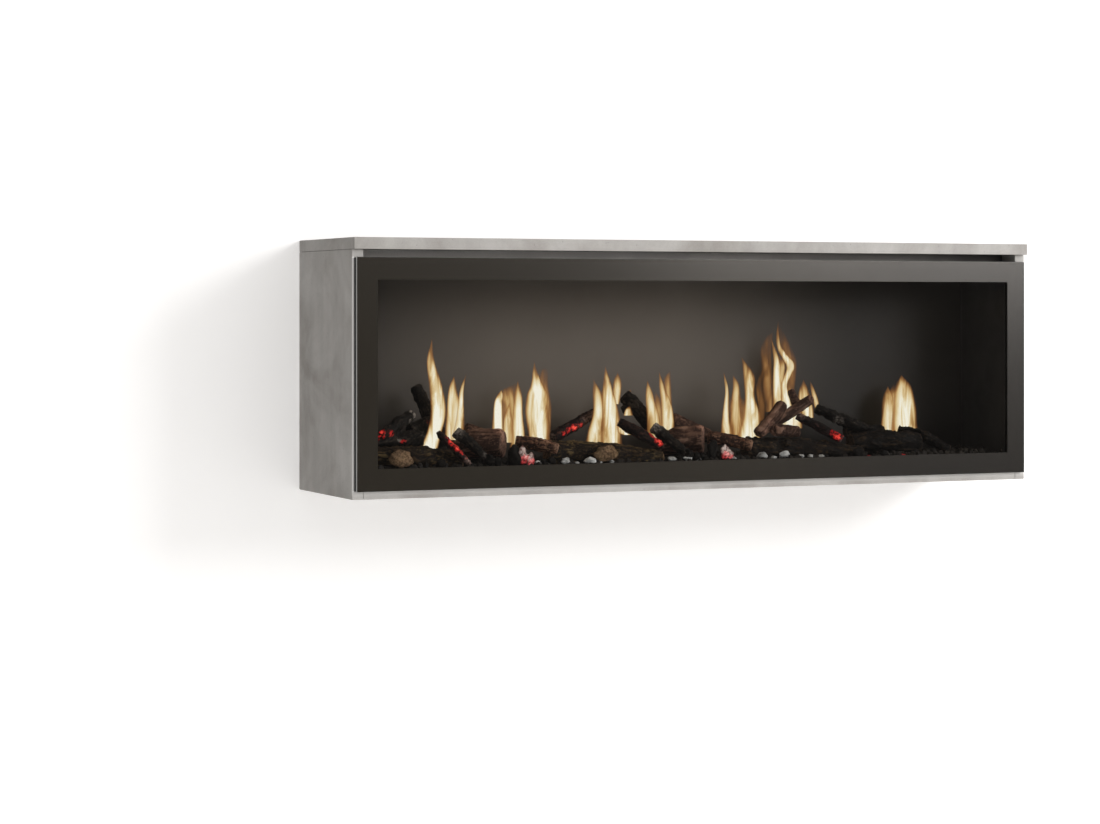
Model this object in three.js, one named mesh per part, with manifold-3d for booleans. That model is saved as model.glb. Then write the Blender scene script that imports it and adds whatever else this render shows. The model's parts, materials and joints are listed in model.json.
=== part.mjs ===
// Wall-hung electric fireplace: a cabinet of 18 mm boards on a wall rail, and in it a sheet-metal
// flame unit behind one large removable pane of black-bordered glass.
// Millimetres. +X is the object's right, +Y goes into the wall, +Z is up. While a piece is being
// made, x = 0 is the middle of the cabinet, y = 0 the wall and z = 0 the cabinet's underside; the
// last lines move the whole object so that its origin is the middle of the wall rail's flat face.
import * as THREE from "three";
import { mergeVertices } from "three/addons/utils/BufferGeometryUtils.js";
import Module from "manifold-3d";

const wasm = await Module();
wasm.setup();

// ---- Driving dimensions ----

const GAP = 0.3; // left between pieces that touch

// Cabinet
const WIDTH = 1200;
const HEIGHT = 396;
const DEPTH = 250; // without the overhang of the top panel
const BOARD = 18;
const OVERHANG = 10;
const BACK_PANEL = { front: -22, rear: -19, groove: 6 };
const VENTS = { each: 3, pitch: 64, length: 44, width: 8, rows: [250, 268] }; // each side of the middle

// Wall rail and hook plates
const RAIL = { sheet: 2.5, bottom: 318, bend: 347.5, offset: 8, lipFoot: 355, lipTop: 368 };
const RAIL_SLOTS = { x: [-480, -160, 160, 480], length: 20, width: 8 };
const HANGER = { sheet: 3, bottom: 330, top: 374, depth: 60, tip: 358 };

// Chassis of folded sheet
const SHEET = 1.5;
const CHASSIS = { front: -249, rear: -30, half: 578, floor: 18.3, roof: 352, upstand: 44 };
const CHASSIS_VENTS = { each: 3, pitch: 32, length: 24, width: 6, rows: [315, 335] };
const WALL_X = 563; // inner face of a firebox wall
const BAFFLE_Y = -215;
const BAFFLE_SLOTS = { count: 15, pitch: 19, width: 9, bottom: 356, top: 366 }; // below the glass's edge
const CABLE_HOLE = { x: 505, z: 110, width: 60, height: 44 };
const INLET = { half: 13.7, high: 10.2, wall: 2, deep: 22, flange: 5.3 };

// Removable glass front
const GLASS = { half: 595.5, bottom: 12, top: 366, front: -258, thick: 4 };
const FRAME = { outer: 597, inner: 580, bottom: 13, top: 365, foot: 30, head: 348, thick: 3.4 };
const HOOK = { x: 420, width: 120, plateBottom: 334.5, plateTop: 347.5, inner: -243 };
const HOOK_LINE = 92.75; // z + y on the underside of the front's 45 degree lips
const LIP = 2.12; // a lip's height measured upright

// Flame effect
const SCREEN = { y: -112, thick: 3 };
const TEMPLATE = { y: -100, thick: 1.2, top: 290, flames: 15, pitch: 72, base: 70 };
const ROTOR = { y: -66, z: 52, radius: 19, left: -533.7, right: 546 };
const PETALS = { count: 20, length: 26, thick: 0.9, twist: 35, turn: 137.5, end: 35 };
const BRACKET = { front: -28, rear: 26, sheet: SHEET }; // y from the rotor's axis
const ROTOR_MOTOR = { left: -560, right: -538, radius: 24.5 };
const LED_STRIP = { count: 16, pitch: 65, half: 520, board: 1.6 };
const BED = { bottom: 20.1, crust: 36, top: 44 };
const STONES = {
  x: [-290, -244, -225, -202, -166, -59, -31, 48, 105, 145, 175, 193],
  large: [-202, 105, 145],
  y: -241,
  z: 48,
};

// Fan heater
const BLOWER = { y: -68, z: 330, wheel: 22, half: 150, sheet: 1.2, blades: 14 };
const DUCT = { bottom: 353.8, top: 376.8, mouth: BAFFLE_Y + GAP };
const HEATER = { front: -147, rear: -122, half: 125, fins: 19 };

// Controls beside the right-hand stile
const CONTROL_BOX = { left: 250, right: 430, bottom: 296, top: 346, deep: 58, slots: 9 };
const CONTROL_X = 571.2;
const ROCKER = { y: -245, z: 145, width: 8.6, half: 8.2, tilt: 7 };
const BUTTONS = { flame_button: 110, heat_button: 85 };
const BUTTON_FRONT = -250.8;

// ---- From geometry to solids and back ----

// A closed geometry as a solid that can be joined and cut.
function toSolid(geometry) {
  const bare = geometry.clone();
  bare.deleteAttribute("normal");
  bare.deleteAttribute("uv");
  const merged = mergeVertices(bare, 1e-4);
  const corners = merged.index.array;
  const kept = [];
  for (let i = 0; i < corners.length; i += 3) {
    const [a, b, c] = corners.subarray(i, i + 3);
    if (a !== b && b !== c && c !== a) kept.push(a, b, c);
  }
  const vertProperties = merged.getAttribute("position").array;
  const mesh = new wasm.Mesh({ numProp: 3, vertProperties, triVerts: new Uint32Array(kept) });
  return new wasm.Manifold(mesh);
}

function toGeometry(solid) {
  const { vertProperties, triVerts } = solid.getMesh();
  const shared = new THREE.BufferGeometry();
  shared.setAttribute("position", new THREE.BufferAttribute(vertProperties, 3));
  shared.setIndex(new THREE.BufferAttribute(triVerts, 1));
  const faceted = shared.toNonIndexed();
  faceted.computeVertexNormals();
  return faceted;
}

const join = (...solids) => solids.reduce((all, next) => all.add(next));
const cut = (solid, ...tools) => tools.reduce((rest, tool) => rest.subtract(tool), solid);

// The largest piece of a solid, without the crumbs that a cut may have left.
function mainPiece(solid) {
  const pieces = solid.decompose();
  const main = pieces.reduce((best, next) => (next.volume() > best.volume() ? next : best));
  if (main.volume() < 0.97 * solid.volume()) throw new Error("a cut parts this piece in two");
  return main;
}

// ---- Outlines and forms ----

const rect = (a0, a1, b0, b1) => [
  [a0, b0],
  [a1, b0],
  [a1, b1],
  [a0, b1],
];

const arc = (a, b, radius, from, to, steps) =>
  Array.from({ length: steps + 1 }, (_, i) => {
    const angle = THREE.MathUtils.degToRad(from + ((to - from) * i) / steps);
    return [a + radius * Math.cos(angle), b + radius * Math.sin(angle)];
  });

const circle = (a, b, radius, sides = 16) => arc(a, b, radius, 0, 360, sides).slice(0, sides);

// A slot with round ends whose long way runs along the first axis.
function obround(a, b, length, width) {
  const radius = width / 2;
  const reach = length / 2 - radius;
  return [...arc(a + reach, b, radius, -90, 90, 3), ...arc(a - reach, b, radius, 90, 270, 3)];
}

const vectors = (points) => points.map(([a, b]) => new THREE.Vector2(a, b));

const extrude = (outline, depth) =>
  new THREE.ExtrudeGeometry(new THREE.Shape(vectors(outline)), { depth, bevelEnabled: false });

// Each turns a form extruded along Z so that its outline is in (y, z) or (x, z), and sets
// it between two places on the other axis.
const SIDE_VIEW = new THREE.Matrix4().makeBasis(
  new THREE.Vector3(0, 1, 0),
  new THREE.Vector3(0, 0, 1),
  new THREE.Vector3(1, 0, 0),
);
const PLACES = {
  x: (form, from) => form.applyMatrix4(SIDE_VIEW).translate(from, 0, 0),
  y: (form, from, to) => form.rotateX(Math.PI / 2).translate(0, to, 0),
};

// An outline swept along an axis, with holes cut right through.
function sweep(axis, outline, from, to, holes) {
  const place = PLACES[axis];
  const tools = holes.map((hole) => toSolid(place(extrude(hole, to - from + 2), from - 1, to + 1)));
  return cut(toSolid(place(extrude(outline, to - from), from, to)), ...tools);
}

const alongX = (outline, x0, x1, holes = []) => sweep("x", outline, x0, x1, holes);
const alongY = (outline, y0, y1, holes = []) => sweep("y", outline, y0, y1, holes);

function box(x0, x1, y0, y1, z0, z1) {
  const block = new THREE.BoxGeometry(x1 - x0, y1 - y0, z1 - z0);
  return toSolid(block.translate((x0 + x1) / 2, (y0 + y1) / 2, (z0 + z1) / 2));
}

const rodX = (x0, x1, y, z, radius, sides = 16) => alongX(circle(y, z, radius, sides), x0, x1);

// A turned form about the Y axis from (radius, y) points.
const turned = (points, sides) => toSolid(new THREE.LatheGeometry(vectors(points), sides));

// ---- Materials and the scene graph ----

const finish = (color, roughness, metalness = 0) =>
  new THREE.MeshStandardMaterial({ color, roughness, metalness });

const CONCRETE = finish(0x8f8a84, 0.75);
const HARDBOARD = finish(0x8b7a63, 0.85);
const ZINC = finish(0xb4b8ba, 0.4, 0.9);
const BLACK_SHEET = finish(0x1b1a19, 0.6, 0.4);
const GREY_SHEET = finish(0x77746f, 0.55, 0.4);
const GLASS_FINISH = finish(0x1c1a18, 0.08);
const SCREEN_FINISH = finish(0x5a534c, 0.5);
const BLACK_PLASTIC = finish(0x161616, 0.45);
const ALUMINIUM = finish(0xc2c4c6, 0.35, 0.9);
const CIRCUIT = finish(0x1d4a2c, 0.5);
const BARK = finish(0x2f241b, 0.9);
const BROWN_WOOD = finish(0x4a342a, 0.8);
const CHARCOAL = finish(0x24221f, 0.95);
const EMBER = finish(0x8a3522, 0.8);
const ASH_BED = finish(0x3a342d, 0.95);

const fireplace = new THREE.Group();

function group(name, parent = fireplace) {
  const made = new THREE.Group();
  made.name = name;
  parent.add(made);
  return made;
}

function add(parent, name, solid, material) {
  const mesh = new THREE.Mesh(toGeometry(solid), material);
  mesh.name = name;
  parent.add(mesh);
  return mesh;
}

// The right-hand piece as modelled and its mirror image on the left.
function addPair(parent, name, solid, material) {
  add(parent, "right_" + name, solid, material);
  add(parent, "left_" + name, solid, material).scale.x = -1;
}

// ---- Cabinet ----

const HALF = WIDTH / 2;
const INNER = HALF - BOARD;
const SHELF = HEIGHT - BOARD; // underside of the top panel
const railMiddle = (RAIL.bottom + RAIL.bend) / 2;

// The groove that takes the back panel's edge, as a cutter.
function backGroove(x0, x1, z0, z1) {
  return box(x0, x1, BACK_PANEL.front - GAP, BACK_PANEL.rear + GAP, z0, z1);
}

function topPanel() {
  const reach = INNER + BACK_PANEL.groove;
  const board = box(-HALF, HALF, -DEPTH - OVERHANG, 0, SHELF, HEIGHT);
  return cut(board, backGroove(-reach, reach, SHELF - 1, SHELF + BACK_PANEL.groove));
}

function sidePanel() {
  const board = box(INNER, HALF, -DEPTH, 0, 0, SHELF - GAP);
  const reach = INNER + BACK_PANEL.groove;
  return cut(board, backGroove(INNER - 1, reach, BOARD - BACK_PANEL.groove, SHELF));
}

function bottomPanel() {
  const reach = INNER - GAP;
  const board = box(-reach, reach, -DEPTH, 0, 0, BOARD);
  return cut(board, backGroove(-HALF, HALF, BOARD - BACK_PANEL.groove, BOARD + 1));
}

// Rows of ventilation slots about the middle.
function ventSlots({ each, pitch, length, width, rows }) {
  const columns = Array.from({ length: 2 * each + 1 }, (_, i) => (i - each) * pitch);
  return rows.flatMap((z) => columns.map((x) => obround(x, z, length, width)));
}

// Ventilation slots, a notch for each hook plate and the hole for the mains plug.
function backPanel() {
  const { front, rear, groove } = BACK_PANEL;
  const reach = INNER + groove - GAP;
  const { x, z, width, height } = CABLE_HOLE;
  const holes = [rect(x - width / 2, x + width / 2, z - height / 2, z + height / 2)];
  holes.push(...ventSlots(VENTS));
  const low = BOARD - groove + GAP;
  const high = SHELF + groove - GAP;
  const board = alongY(rect(-reach, reach, low, high), front, rear, holes);
  const inner = INNER - HANGER.sheet - 2 * GAP;
  const [notchLow, notchHigh] = [HANGER.bottom - GAP, HANGER.top + GAP];
  return cut(
    board,
    box(inner, INNER, front - 1, rear + 1, notchLow, notchHigh),
    box(-INNER, -inner, front - 1, rear + 1, notchLow, notchHigh),
  );
}

// A strip with a 45 degree step, so that its upper lip stands clear of the wall.
function wallRail() {
  const { sheet, bottom, bend, offset, lipFoot, lipTop } = RAIL;
  const profile = [
    [0, bottom],
    [0, bend],
    [-offset, lipFoot],
    [-offset, lipTop],
    [-offset - sheet, lipTop],
    [-offset - sheet, lipFoot - 1],
    [-sheet, bend - 1],
    [-sheet, bottom],
  ];
  const slots = RAIL_SLOTS.x.map((x) =>
    alongY(obround(x, railMiddle, RAIL_SLOTS.length, RAIL_SLOTS.width), -sheet - 1, 1),
  );
  return cut(alongX(profile, -INNER + 1, INNER - 1), ...slots);
}

// Hooks over the rail's lip with a nose behind it.
function hanger() {
  const { sheet, bottom, top, depth, tip } = HANGER;
  const lipFront = -RAIL.offset - RAIL.sheet - 0.5;
  const noseFront = -RAIL.offset + 0.5;
  const profile = [
    [-depth, bottom],
    [lipFront, bottom],
    [lipFront, RAIL.lipTop + 0.4],
    [noseFront, RAIL.lipTop + 0.4],
    [noseFront, tip],
    [-3.5, tip],
    [-3.5, top - 6],
    [-9.5, top],
    [-depth, top],
  ];
  const holes = [-48, -34].map((y) => circle(y, 352, 2.2, 10));
  return alongX(profile, INNER - GAP - sheet, INNER - GAP, holes);
}

const cabinet = group("cabinet");
add(cabinet, "top_panel", topPanel(), CONCRETE);
addPair(cabinet, "side_panel", sidePanel(), CONCRETE);
add(cabinet, "bottom_panel", bottomPanel(), CONCRETE);
add(cabinet, "back_panel", backPanel(), HARDBOARD);
add(cabinet, "wall_rail", wallRail(), ZINC);
addPair(cabinet, "hanger", hanger(), ZINC);

// ---- Chassis ----

const floorTop = CHASSIS.floor + SHEET;
const frontFold = CHASSIS.front + SHEET; // rear face of the front flanges
const wallTop = CHASSIS.roof - GAP;

function chassisFloor() {
  const { front, rear, half, floor, upstand } = CHASSIS;
  const profile = [
    [front, floor],
    [rear, floor],
    [rear, floorTop],
    [frontFold, floorTop],
    [frontFold, upstand],
    [front, upstand],
  ];
  return alongX(profile, -half, half);
}

// A wall with its front edge folded outwards as a stile; the right one is cut for the controls.
function fireboxWall(stileHoles) {
  const { front, rear, half, upstand } = CHASSIS;
  const low = floorTop + GAP;
  const plateOutline = [
    [frontFold + GAP, low],
    [rear - SHEET - GAP, low],
    [rear - SHEET - GAP, wallTop],
    [front, wallTop],
    [front, upstand + GAP],
    [frontFold + GAP, upstand + GAP],
  ];
  const stile = alongY(rect(WALL_X, half, upstand + GAP, wallTop), front, frontFold, stileHoles);
  return join(alongX(plateOutline, WALL_X, WALL_X + SHEET), stile);
}

function controlCutouts() {
  const { z } = ROCKER;
  const window = rect(CONTROL_X - 5.1, CONTROL_X + 5.1, z - 10.2, z + 10.2);
  return [window, ...Object.values(BUTTONS).map((height) => circle(CONTROL_X, height, 4.6))];
}

function chassisBack() {
  const { rear, half } = CHASSIS;
  const { x, z } = CABLE_HOLE;
  const { half: across, high } = INLET;
  const inlet = rect(x - across - GAP, x + across + GAP, z - high - GAP, z + high + GAP);
  const holes = [inlet, ...ventSlots(CHASSIS_VENTS)];
  return alongY(rect(-half, half, floorTop + GAP, wallTop), rear - SHEET, rear, holes);
}

function chassisRoof() {
  const { front, half, roof } = CHASSIS;
  return box(-half, half, front, SCREEN.y + SCREEN.thick + 3, roof, roof + SHEET);
}

// The strip across the firebox mouth that carries the glass front on two 45 degree lips.
function topFlange() {
  const reach = WALL_X - GAP;
  const strip = box(-reach, reach, CHASSIS.front, frontFold, 334, wallTop);
  const upper = HOOK_LINE - GAP * Math.SQRT2;
  const lower = upper - LIP;
  const lipOutline = [
    [-248.2, lower + 248.2],
    [-248.2, upper + 248.2],
    [-251.7, upper + 251.7],
    [-251.7, lower + 251.7],
  ];
  const slotOutline = [
    [-250, upper + 250],
    [-246, upper + 246],
    [-246, 349],
    [-250, 349],
  ];
  const reachX = HOOK.width / 2;
  const slots = [-HOOK.x, HOOK.x].map((x) => alongX(slotOutline, x - reachX - 1, x + reachX + 1));
  const lips = [-HOOK.x, HOOK.x].map((x) => alongX(lipOutline, x - reachX, x + reachX));
  return join(cut(strip, ...slots), ...lips);
}

// The grey plate seen through the slot over the glass; warm air comes through its louvres.
function airBaffle() {
  const { count, pitch, width, bottom, top } = BAFFLE_SLOTS;
  const holes = Array.from({ length: count }, (_, i) => {
    const x = (i - (count - 1) / 2) * pitch;
    return rect(x - width / 2, x + width / 2, bottom, top);
  });
  const outline = rect(-CHASSIS.half, CHASSIS.half, CHASSIS.roof + SHEET + GAP, SHELF - GAP);
  return alongY(outline, BAFFLE_Y - SHEET, BAFFLE_Y, holes);
}

const chassis = group("chassis");
add(chassis, "chassis_floor", chassisFloor(), BLACK_SHEET);
add(chassis, "right_firebox_wall", fireboxWall(controlCutouts()), BLACK_SHEET);
add(chassis, "left_firebox_wall", fireboxWall([]), BLACK_SHEET).scale.x = -1;
add(chassis, "chassis_back", chassisBack(), BLACK_SHEET);
add(chassis, "chassis_roof", chassisRoof(), BLACK_SHEET);
add(chassis, "top_flange", topFlange(), BLACK_SHEET);
add(chassis, "air_baffle", airBaffle(), GREY_SHEET);

// ---- Removable glass front ----

const glassRear = GLASS.front + GLASS.thick;
const frameFront = glassRear + GAP;

function glassPane() {
  const { half, bottom, top, front } = GLASS;
  return box(-half, half, front, glassRear, bottom, top);
}

function frontFrame() {
  const { outer, inner, bottom, top, foot, head, thick } = FRAME;
  const opening = rect(-inner, inner, foot, head);
  return alongY(rect(-outer, outer, bottom, top), frameFront, frameFront + thick, [opening]);
}

// A plate bonded to the glass with a lip that reaches back and down at 45 degrees.
function hook() {
  const { width, plateBottom, plateTop, inner } = HOOK;
  const plateRear = frameFront + SHEET;
  const upper = HOOK_LINE + LIP;
  const profile = [
    [frameFront, plateBottom],
    [plateRear, plateBottom],
    [plateRear, HOOK_LINE - plateRear],
    [inner, HOOK_LINE - inner],
    [inner, upper - inner],
    [plateRear, upper - plateRear],
    [plateRear, plateTop],
    [frameFront, plateTop],
  ];
  return alongX(profile, -width / 2, width / 2);
}

const front = group("front");
add(front, "glass_pane", glassPane(), GLASS_FINISH);
add(front, "front_frame", frontFrame(), BLACK_SHEET);
add(front, "left_hook", hook(), ZINC).position.x = -HOOK.x;
add(front, "right_hook", hook(), ZINC).position.x = HOOK.x;

// ---- Flame effect ----

const standing = floorTop + GAP; // the foot of what stands on the chassis floor

function flameScreen() {
  const reach = WALL_X - GAP;
  return box(-reach, reach, SCREEN.y, SCREEN.y + SCREEN.thick, standing, wallTop);
}

// One tongue of flame that leans to one side: two bowed edges meeting in a point.
function tongue(x, base, width, height, lean) {
  const edge = (side, t) => {
    const bulge = Math.sin(Math.PI * Math.min(t * 1.15 + 0.18, 1)) * (1 - t * 0.35);
    return [x + (side * bulge * width) / 2 + lean * t * t, base + height * t];
  };
  const levels = [0, 0.15, 0.32, 0.5, 0.68, 0.82];
  const right = levels.map((t) => edge(1, t));
  const left = levels.map((t) => edge(-1, t)).reverse();
  return [...right, [x + lean, base + height], ...left];
}

// A dark plate whose cut-outs give the flames their outline.
function flameTemplate() {
  const { y, thick, top, flames, pitch, base } = TEMPLATE;
  const holes = Array.from({ length: flames }, (_, i) => {
    const x = (i - (flames - 1) / 2) * pitch;
    const height = 90 + 60 * Math.abs(Math.sin(i * 1.7));
    return tongue(x, base, 30 + 8 * Math.cos(i * 2.3), height, 10 * Math.sin(i * 1.1));
  });
  const reach = WALL_X - GAP;
  return alongY(rect(-reach, reach, standing, top), y, y + thick, holes);
}

// A shaft about its own X axis, set with twisted petals that throw the light about.
function flameRotor() {
  const { left, right, radius } = ROTOR;
  const { count, length, thick, twist, turn, end } = PETALS;
  const rad = THREE.MathUtils.degToRad;
  const shaft = join(rodX(left, right, 0, 0, 3, 10), rodX(left, left + 14, 0, 0, 5.5, 12));
  const pitch = (right - left - 2 * end) / (count - 1);
  const blades = Array.from({ length: count }, (_, i) => {
    const blade = new THREE.BoxGeometry(length, thick, radius - 2).translate(0, 0, radius / 2 + 1);
    blade.rotateZ(rad(twist)).rotateX(rad(turn * i));
    return toSolid(blade.translate(left + end + i * pitch, 0, 0));
  });
  return join(shaft, ...blades);
}

function rotorMotor() {
  const { left, right, radius } = ROTOR_MOTOR;
  const { y, z } = ROTOR;
  const can = rodX(left, right, y, z, radius, 24);
  const cap = rodX(left - 1.5, left + 1, y, z, radius - 6, 18);
  const ears = [-1, 1].map((side) => {
    const ear = y + side * (radius + 3);
    return box(right - 1.2, right, Math.min(y, ear), Math.max(y, ear), z - 4, z + 4);
  });
  return join(can, cap, ...ears, rodX(right - 1, right + 4, y, z, 3, 10));
}

// An upright plate on a foot, with a hole of the given radius on the rotor's axis.
function rotorBracket(x0, x1, footEnd, holeRadius) {
  const { y, z } = ROTOR;
  const [near, far] = [y + BRACKET.front, y + BRACKET.rear];
  const plateOutline = [
    [near, standing],
    [far, standing],
    [far, z + 8],
    ...arc(y, z, 27, 20, 160, 6),
    [near, z + 8],
  ];
  const [low, high] = [Math.min(x0, footEnd), Math.max(x1, footEnd)];
  const foot = box(low, high, near, far, standing, standing + BRACKET.sheet);
  return cut(join(alongX(plateOutline, x0, x1), foot), rodX(x0 - 30, x1 + 30, y, z, holeRadius, 14));
}

function rotorBearing() {
  const { y, z } = ROTOR;
  const plate = rotorBracket(547, 547 + SHEET, 559, 1);
  const bush = join(plate, rodX(540, 547.5, y, z, 6, 14));
  return cut(bush, rodX(539, 546.3, y, z, 3.3, 14));
}

// A circuit strip with a row of light-emitting diodes on one face.
function ledStrip(board, chip) {
  const { count, pitch } = LED_STRIP;
  const chips = Array.from({ length: count }, (_, i) => chip((i - (count - 1) / 2) * pitch));
  return join(board, ...chips);
}

function flameLedBoard() {
  const { half, board: thick } = LED_STRIP;
  const board = box(-half, half, -40 - thick, -40, standing, 58);
  return ledStrip(board, (x) => box(x - 2.5, x + 2.5, -43.7, -41, 49, 54));
}

function emberLedBoard() {
  const { half, board: thick } = LED_STRIP;
  const board = box(-half, half, -190, -170, standing, standing + thick);
  return ledStrip(board, (x) => box(x - 2.5, x + 2.5, -182.5, -177.5, standing + 1, standing + 3.8));
}

const flameUnit = group("flame_unit");
add(flameUnit, "flame_screen", flameScreen(), SCREEN_FINISH);
add(flameUnit, "flame_template", flameTemplate(), BLACK_SHEET);
add(flameUnit, "flame_rotor", flameRotor(), ALUMINIUM).position.set(0, ROTOR.y, ROTOR.z);
add(flameUnit, "rotor_motor", rotorMotor(), ZINC);
add(flameUnit, "rotor_motor_bracket", rotorBracket(-537.7, -536.2, -524, 4.2), ZINC);
add(flameUnit, "rotor_bearing", rotorBearing(), ZINC);
add(flameUnit, "flame_led_board", flameLedBoard(), CIRCUIT);
add(flameUnit, "ember_led_board", emberLedBoard(), CIRCUIT);

// ---- Fan heater ----

// Sheet walls of a tangential blower: the scroll that ends in the duct's top, the tongue that
// ends in its bottom, and two end plates. The gap between scroll and tongue is the intake.
function blowerHousing() {
  const { y, z, half, sheet } = BLOWER;
  const spiral = (extra) =>
    Array.from({ length: 11 }, (_, i) => {
      const angle = THREE.MathUtils.degToRad(-60 + 15 * i);
      const radius = 24.5 + (DUCT.top - sheet - z - 24.5) * (i / 10) + extra;
      return [y + radius * Math.cos(angle), z + radius * Math.sin(angle)];
    });
  const scroll = [
    ...spiral(sheet),
    [DUCT.mouth, DUCT.top],
    [DUCT.mouth, DUCT.top - sheet],
    ...spiral(0).reverse(),
  ];
  const throat = y - 30;
  const tongueWall = [
    [DUCT.mouth, DUCT.bottom],
    [throat, DUCT.bottom],
    [throat + 3.3, 350],
    [throat + 4.8, 336],
    [throat + 6, 336],
    [throat + 4.5, 350.5],
    [throat + 0.8, DUCT.bottom + sheet],
    [DUCT.mouth, DUCT.bottom + sheet],
  ];
  const inset = sheet / 2; // the end plates' edges lie inside the walls
  const endOutline = [
    [DUCT.mouth + inset, DUCT.bottom + inset],
    [throat + 1, DUCT.bottom + inset],
    [throat + 2, z],
    ...arc(y, z, 28.5, 200, 290, 5),
    ...spiral(inset),
    [DUCT.mouth + inset, DUCT.top - inset],
  ];
  const ends = [-half - sheet, half - 0.2].map((x) =>
    alongX(endOutline, x, x + sheet + 0.2, [circle(y, z, 3.2, 10)]),
  );
  return join(alongX(scroll, -half, half), alongX(tongueWall, -half, half), ...ends);
}

// A cage of curved blades between two discs, about its own X axis.
function blowerWheel() {
  const { wheel, half, blades } = BLOWER;
  const reach = half - 3;
  const discs = [-reach, reach - SHEET].map((x) => rodX(x, x + SHEET, 0, 0, wheel, 24));
  const bladeOutline = [
    ...arc(wheel - 3, -3, 4.6, 60, 150, 3),
    ...arc(wheel - 3, -3, 3.8, 150, 60, 3),
  ];
  const blade = extrude(bladeOutline, 2 * reach - 1).applyMatrix4(SIDE_VIEW);
  blade.translate(-reach + 0.5, 0, 0);
  const cage = Array.from({ length: blades }, (_, i) =>
    toSolid(blade.clone().rotateX((2 * Math.PI * i) / blades)),
  );
  const pins = [rodX(-reach - 5, -reach + 1, 0, 0, 2.5, 12), rodX(reach - 1, reach + 12, 0, 0, 2.5, 12)];
  return join(...discs, ...cage, ...pins);
}

function blowerMotor() {
  const { y, z, half, sheet } = BLOWER;
  const near = half + sheet + GAP;
  const can = join(
    rodX(near, near + 30, y, z, 18, 20),
    rodX(near + 29, near + 34, y, z, 14, 20),
    rodX(near + 33, near + 37, y, z, 5, 12),
  );
  const lugs = [-22, 22].map((dy) => box(near, near + 3, y + dy - 3, y + dy + 3, z - 4, z + 4));
  const strap = box(near, near + 3, y - 24, y + 24, z - 3, z + 3);
  return cut(join(can, strap, ...lugs), rodX(near - 1, near + 12, y, z, 2.8, 12));
}

// Two bars with a row of upright fins between them.
function heaterElement() {
  const { front: face, rear, half, fins } = HEATER;
  const low = DUCT.bottom + BLOWER.sheet + GAP;
  const high = DUCT.top - BLOWER.sheet - GAP;
  const bars = [box(-half, half, face, rear, low, low + 2), box(-half, half, face, rear, high - 2, high)];
  const pitch = (2 * half - 4) / (fins - 1);
  const plates = Array.from({ length: fins }, (_, i) => {
    const x = -half + 1 + i * pitch;
    return box(x, x + 2, face + 1, rear - 1, low + 1, high - 1);
  });
  return join(...bars, ...plates);
}

const heater = group("heater");
add(heater, "blower_housing", blowerHousing(), ZINC);
add(heater, "blower_wheel", blowerWheel(), ALUMINIUM).position.set(0, BLOWER.y, BLOWER.z);
add(heater, "blower_motor", blowerMotor(), ZINC);
add(heater, "heater_element", heaterElement(), ALUMINIUM);

// ---- Electrics and controls ----

// A lidded plastic case with chamfered corners, cooling slots and two fixing ears.
function controlBox() {
  const rear = CHASSIS.rear - SHEET - GAP;
  const { left: x0, right: x1, bottom: z0, top: z1, deep, slots: count } = CONTROL_BOX;
  const outline = [
    [x0 + 4, z0],
    [x1 - 4, z0],
    [x1, z0 + 4],
    [x1, z1 - 4],
    [x1 - 4, z1],
    [x0 + 4, z1],
    [x0, z1 - 4],
    [x0, z0 + 4],
  ];
  const body = alongY(outline, rear - deep, rear);
  const ears = [rect(x0 - 12, x0 + 2, 312, 330), rect(x1 - 2, x1 + 12, 312, 330)].map((ear) =>
    alongY(ear, rear - 3, rear),
  );
  const slots = Array.from({ length: count }, (_, i) => {
    const x = x0 + 26 + i * 16;
    return box(x - 4, x + 4, rear - deep - 2, rear - deep + 2, z0 + 12, z1 - 12);
  });
  return cut(join(body, ...ears), ...slots);
}

// A panel-mounted appliance inlet with three blades in its socket.
function mainsInlet() {
  const { x, z } = CABLE_HOLE;
  const { half, high, wall, deep, flange } = INLET;
  const { rear } = CHASSIS;
  const outline = (extra) => rect(x - half - extra, x + half + extra, z - high - extra, z + high + extra);
  const plate = alongY(outline(flange), rear + GAP, rear + 2.8);
  const body = alongY(outline(0), rear - deep, rear + 1);
  const socket = alongY(outline(-wall), rear - deep + 5, rear + 4);
  const blades = [[-7, -2], [0, 2.2], [7, -2]].map(([dx, dz]) =>
    box(x + dx - 1, x + dx + 1, rear - deep + 4, rear - 5, z + dz - 2, z + dz + 2),
  );
  return join(cut(join(plate, body), socket), ...blades);
}

function controlPanel() {
  const { y, z } = ROCKER;
  const face = frontFold + GAP;
  const body = box(WALL_X + SHEET + GAP, CHASSIS.half - GAP, face, -222, 62, 162);
  const pocket = box(CONTROL_X - 4.6, CONTROL_X + 4.6, face - 1, -236, z - 9.8, z + 9.8);
  const pivotHole = rodX(CONTROL_X - 5.9, CONTROL_X + 5.9, y, z, 1.5, 12);
  const bores = Object.values(BUTTONS).flatMap((height) => [
    alongY(circle(CONTROL_X, height, 4.3), face - 1, face + 1.1),
    alongY(circle(CONTROL_X, height, 5.2), face + 1, -238),
  ]);
  return cut(body, pocket, pivotHole, ...bores);
}

// A rocker about its own pivot, with a shallow V face and two pins.
function rocker() {
  const { width, half } = ROCKER;
  const profile = [
    [-3.4, -half],
    [1.2, -half],
    [5, -3],
    [5, 3],
    [1.2, half],
    [-3.4, half],
    [-2.4, 0],
  ];
  return join(alongX(profile, -width / 2, width / 2), rodX(-5.5, 5.5, 0, 0, 1.2, 10));
}

// A push button about the Y axis, with a collar that keeps it in the panel.
function button() {
  const profile = [
    [0, 0],
    [3.6, 0],
    [4, 0.5],
    [4, 4.9],
    [4.8, 4.9],
    [4.8, 7.2],
    [2.4, 7.2],
    [2.4, 10.5],
    [0, 10.5],
  ];
  return turned(profile, 14);
}

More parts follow.
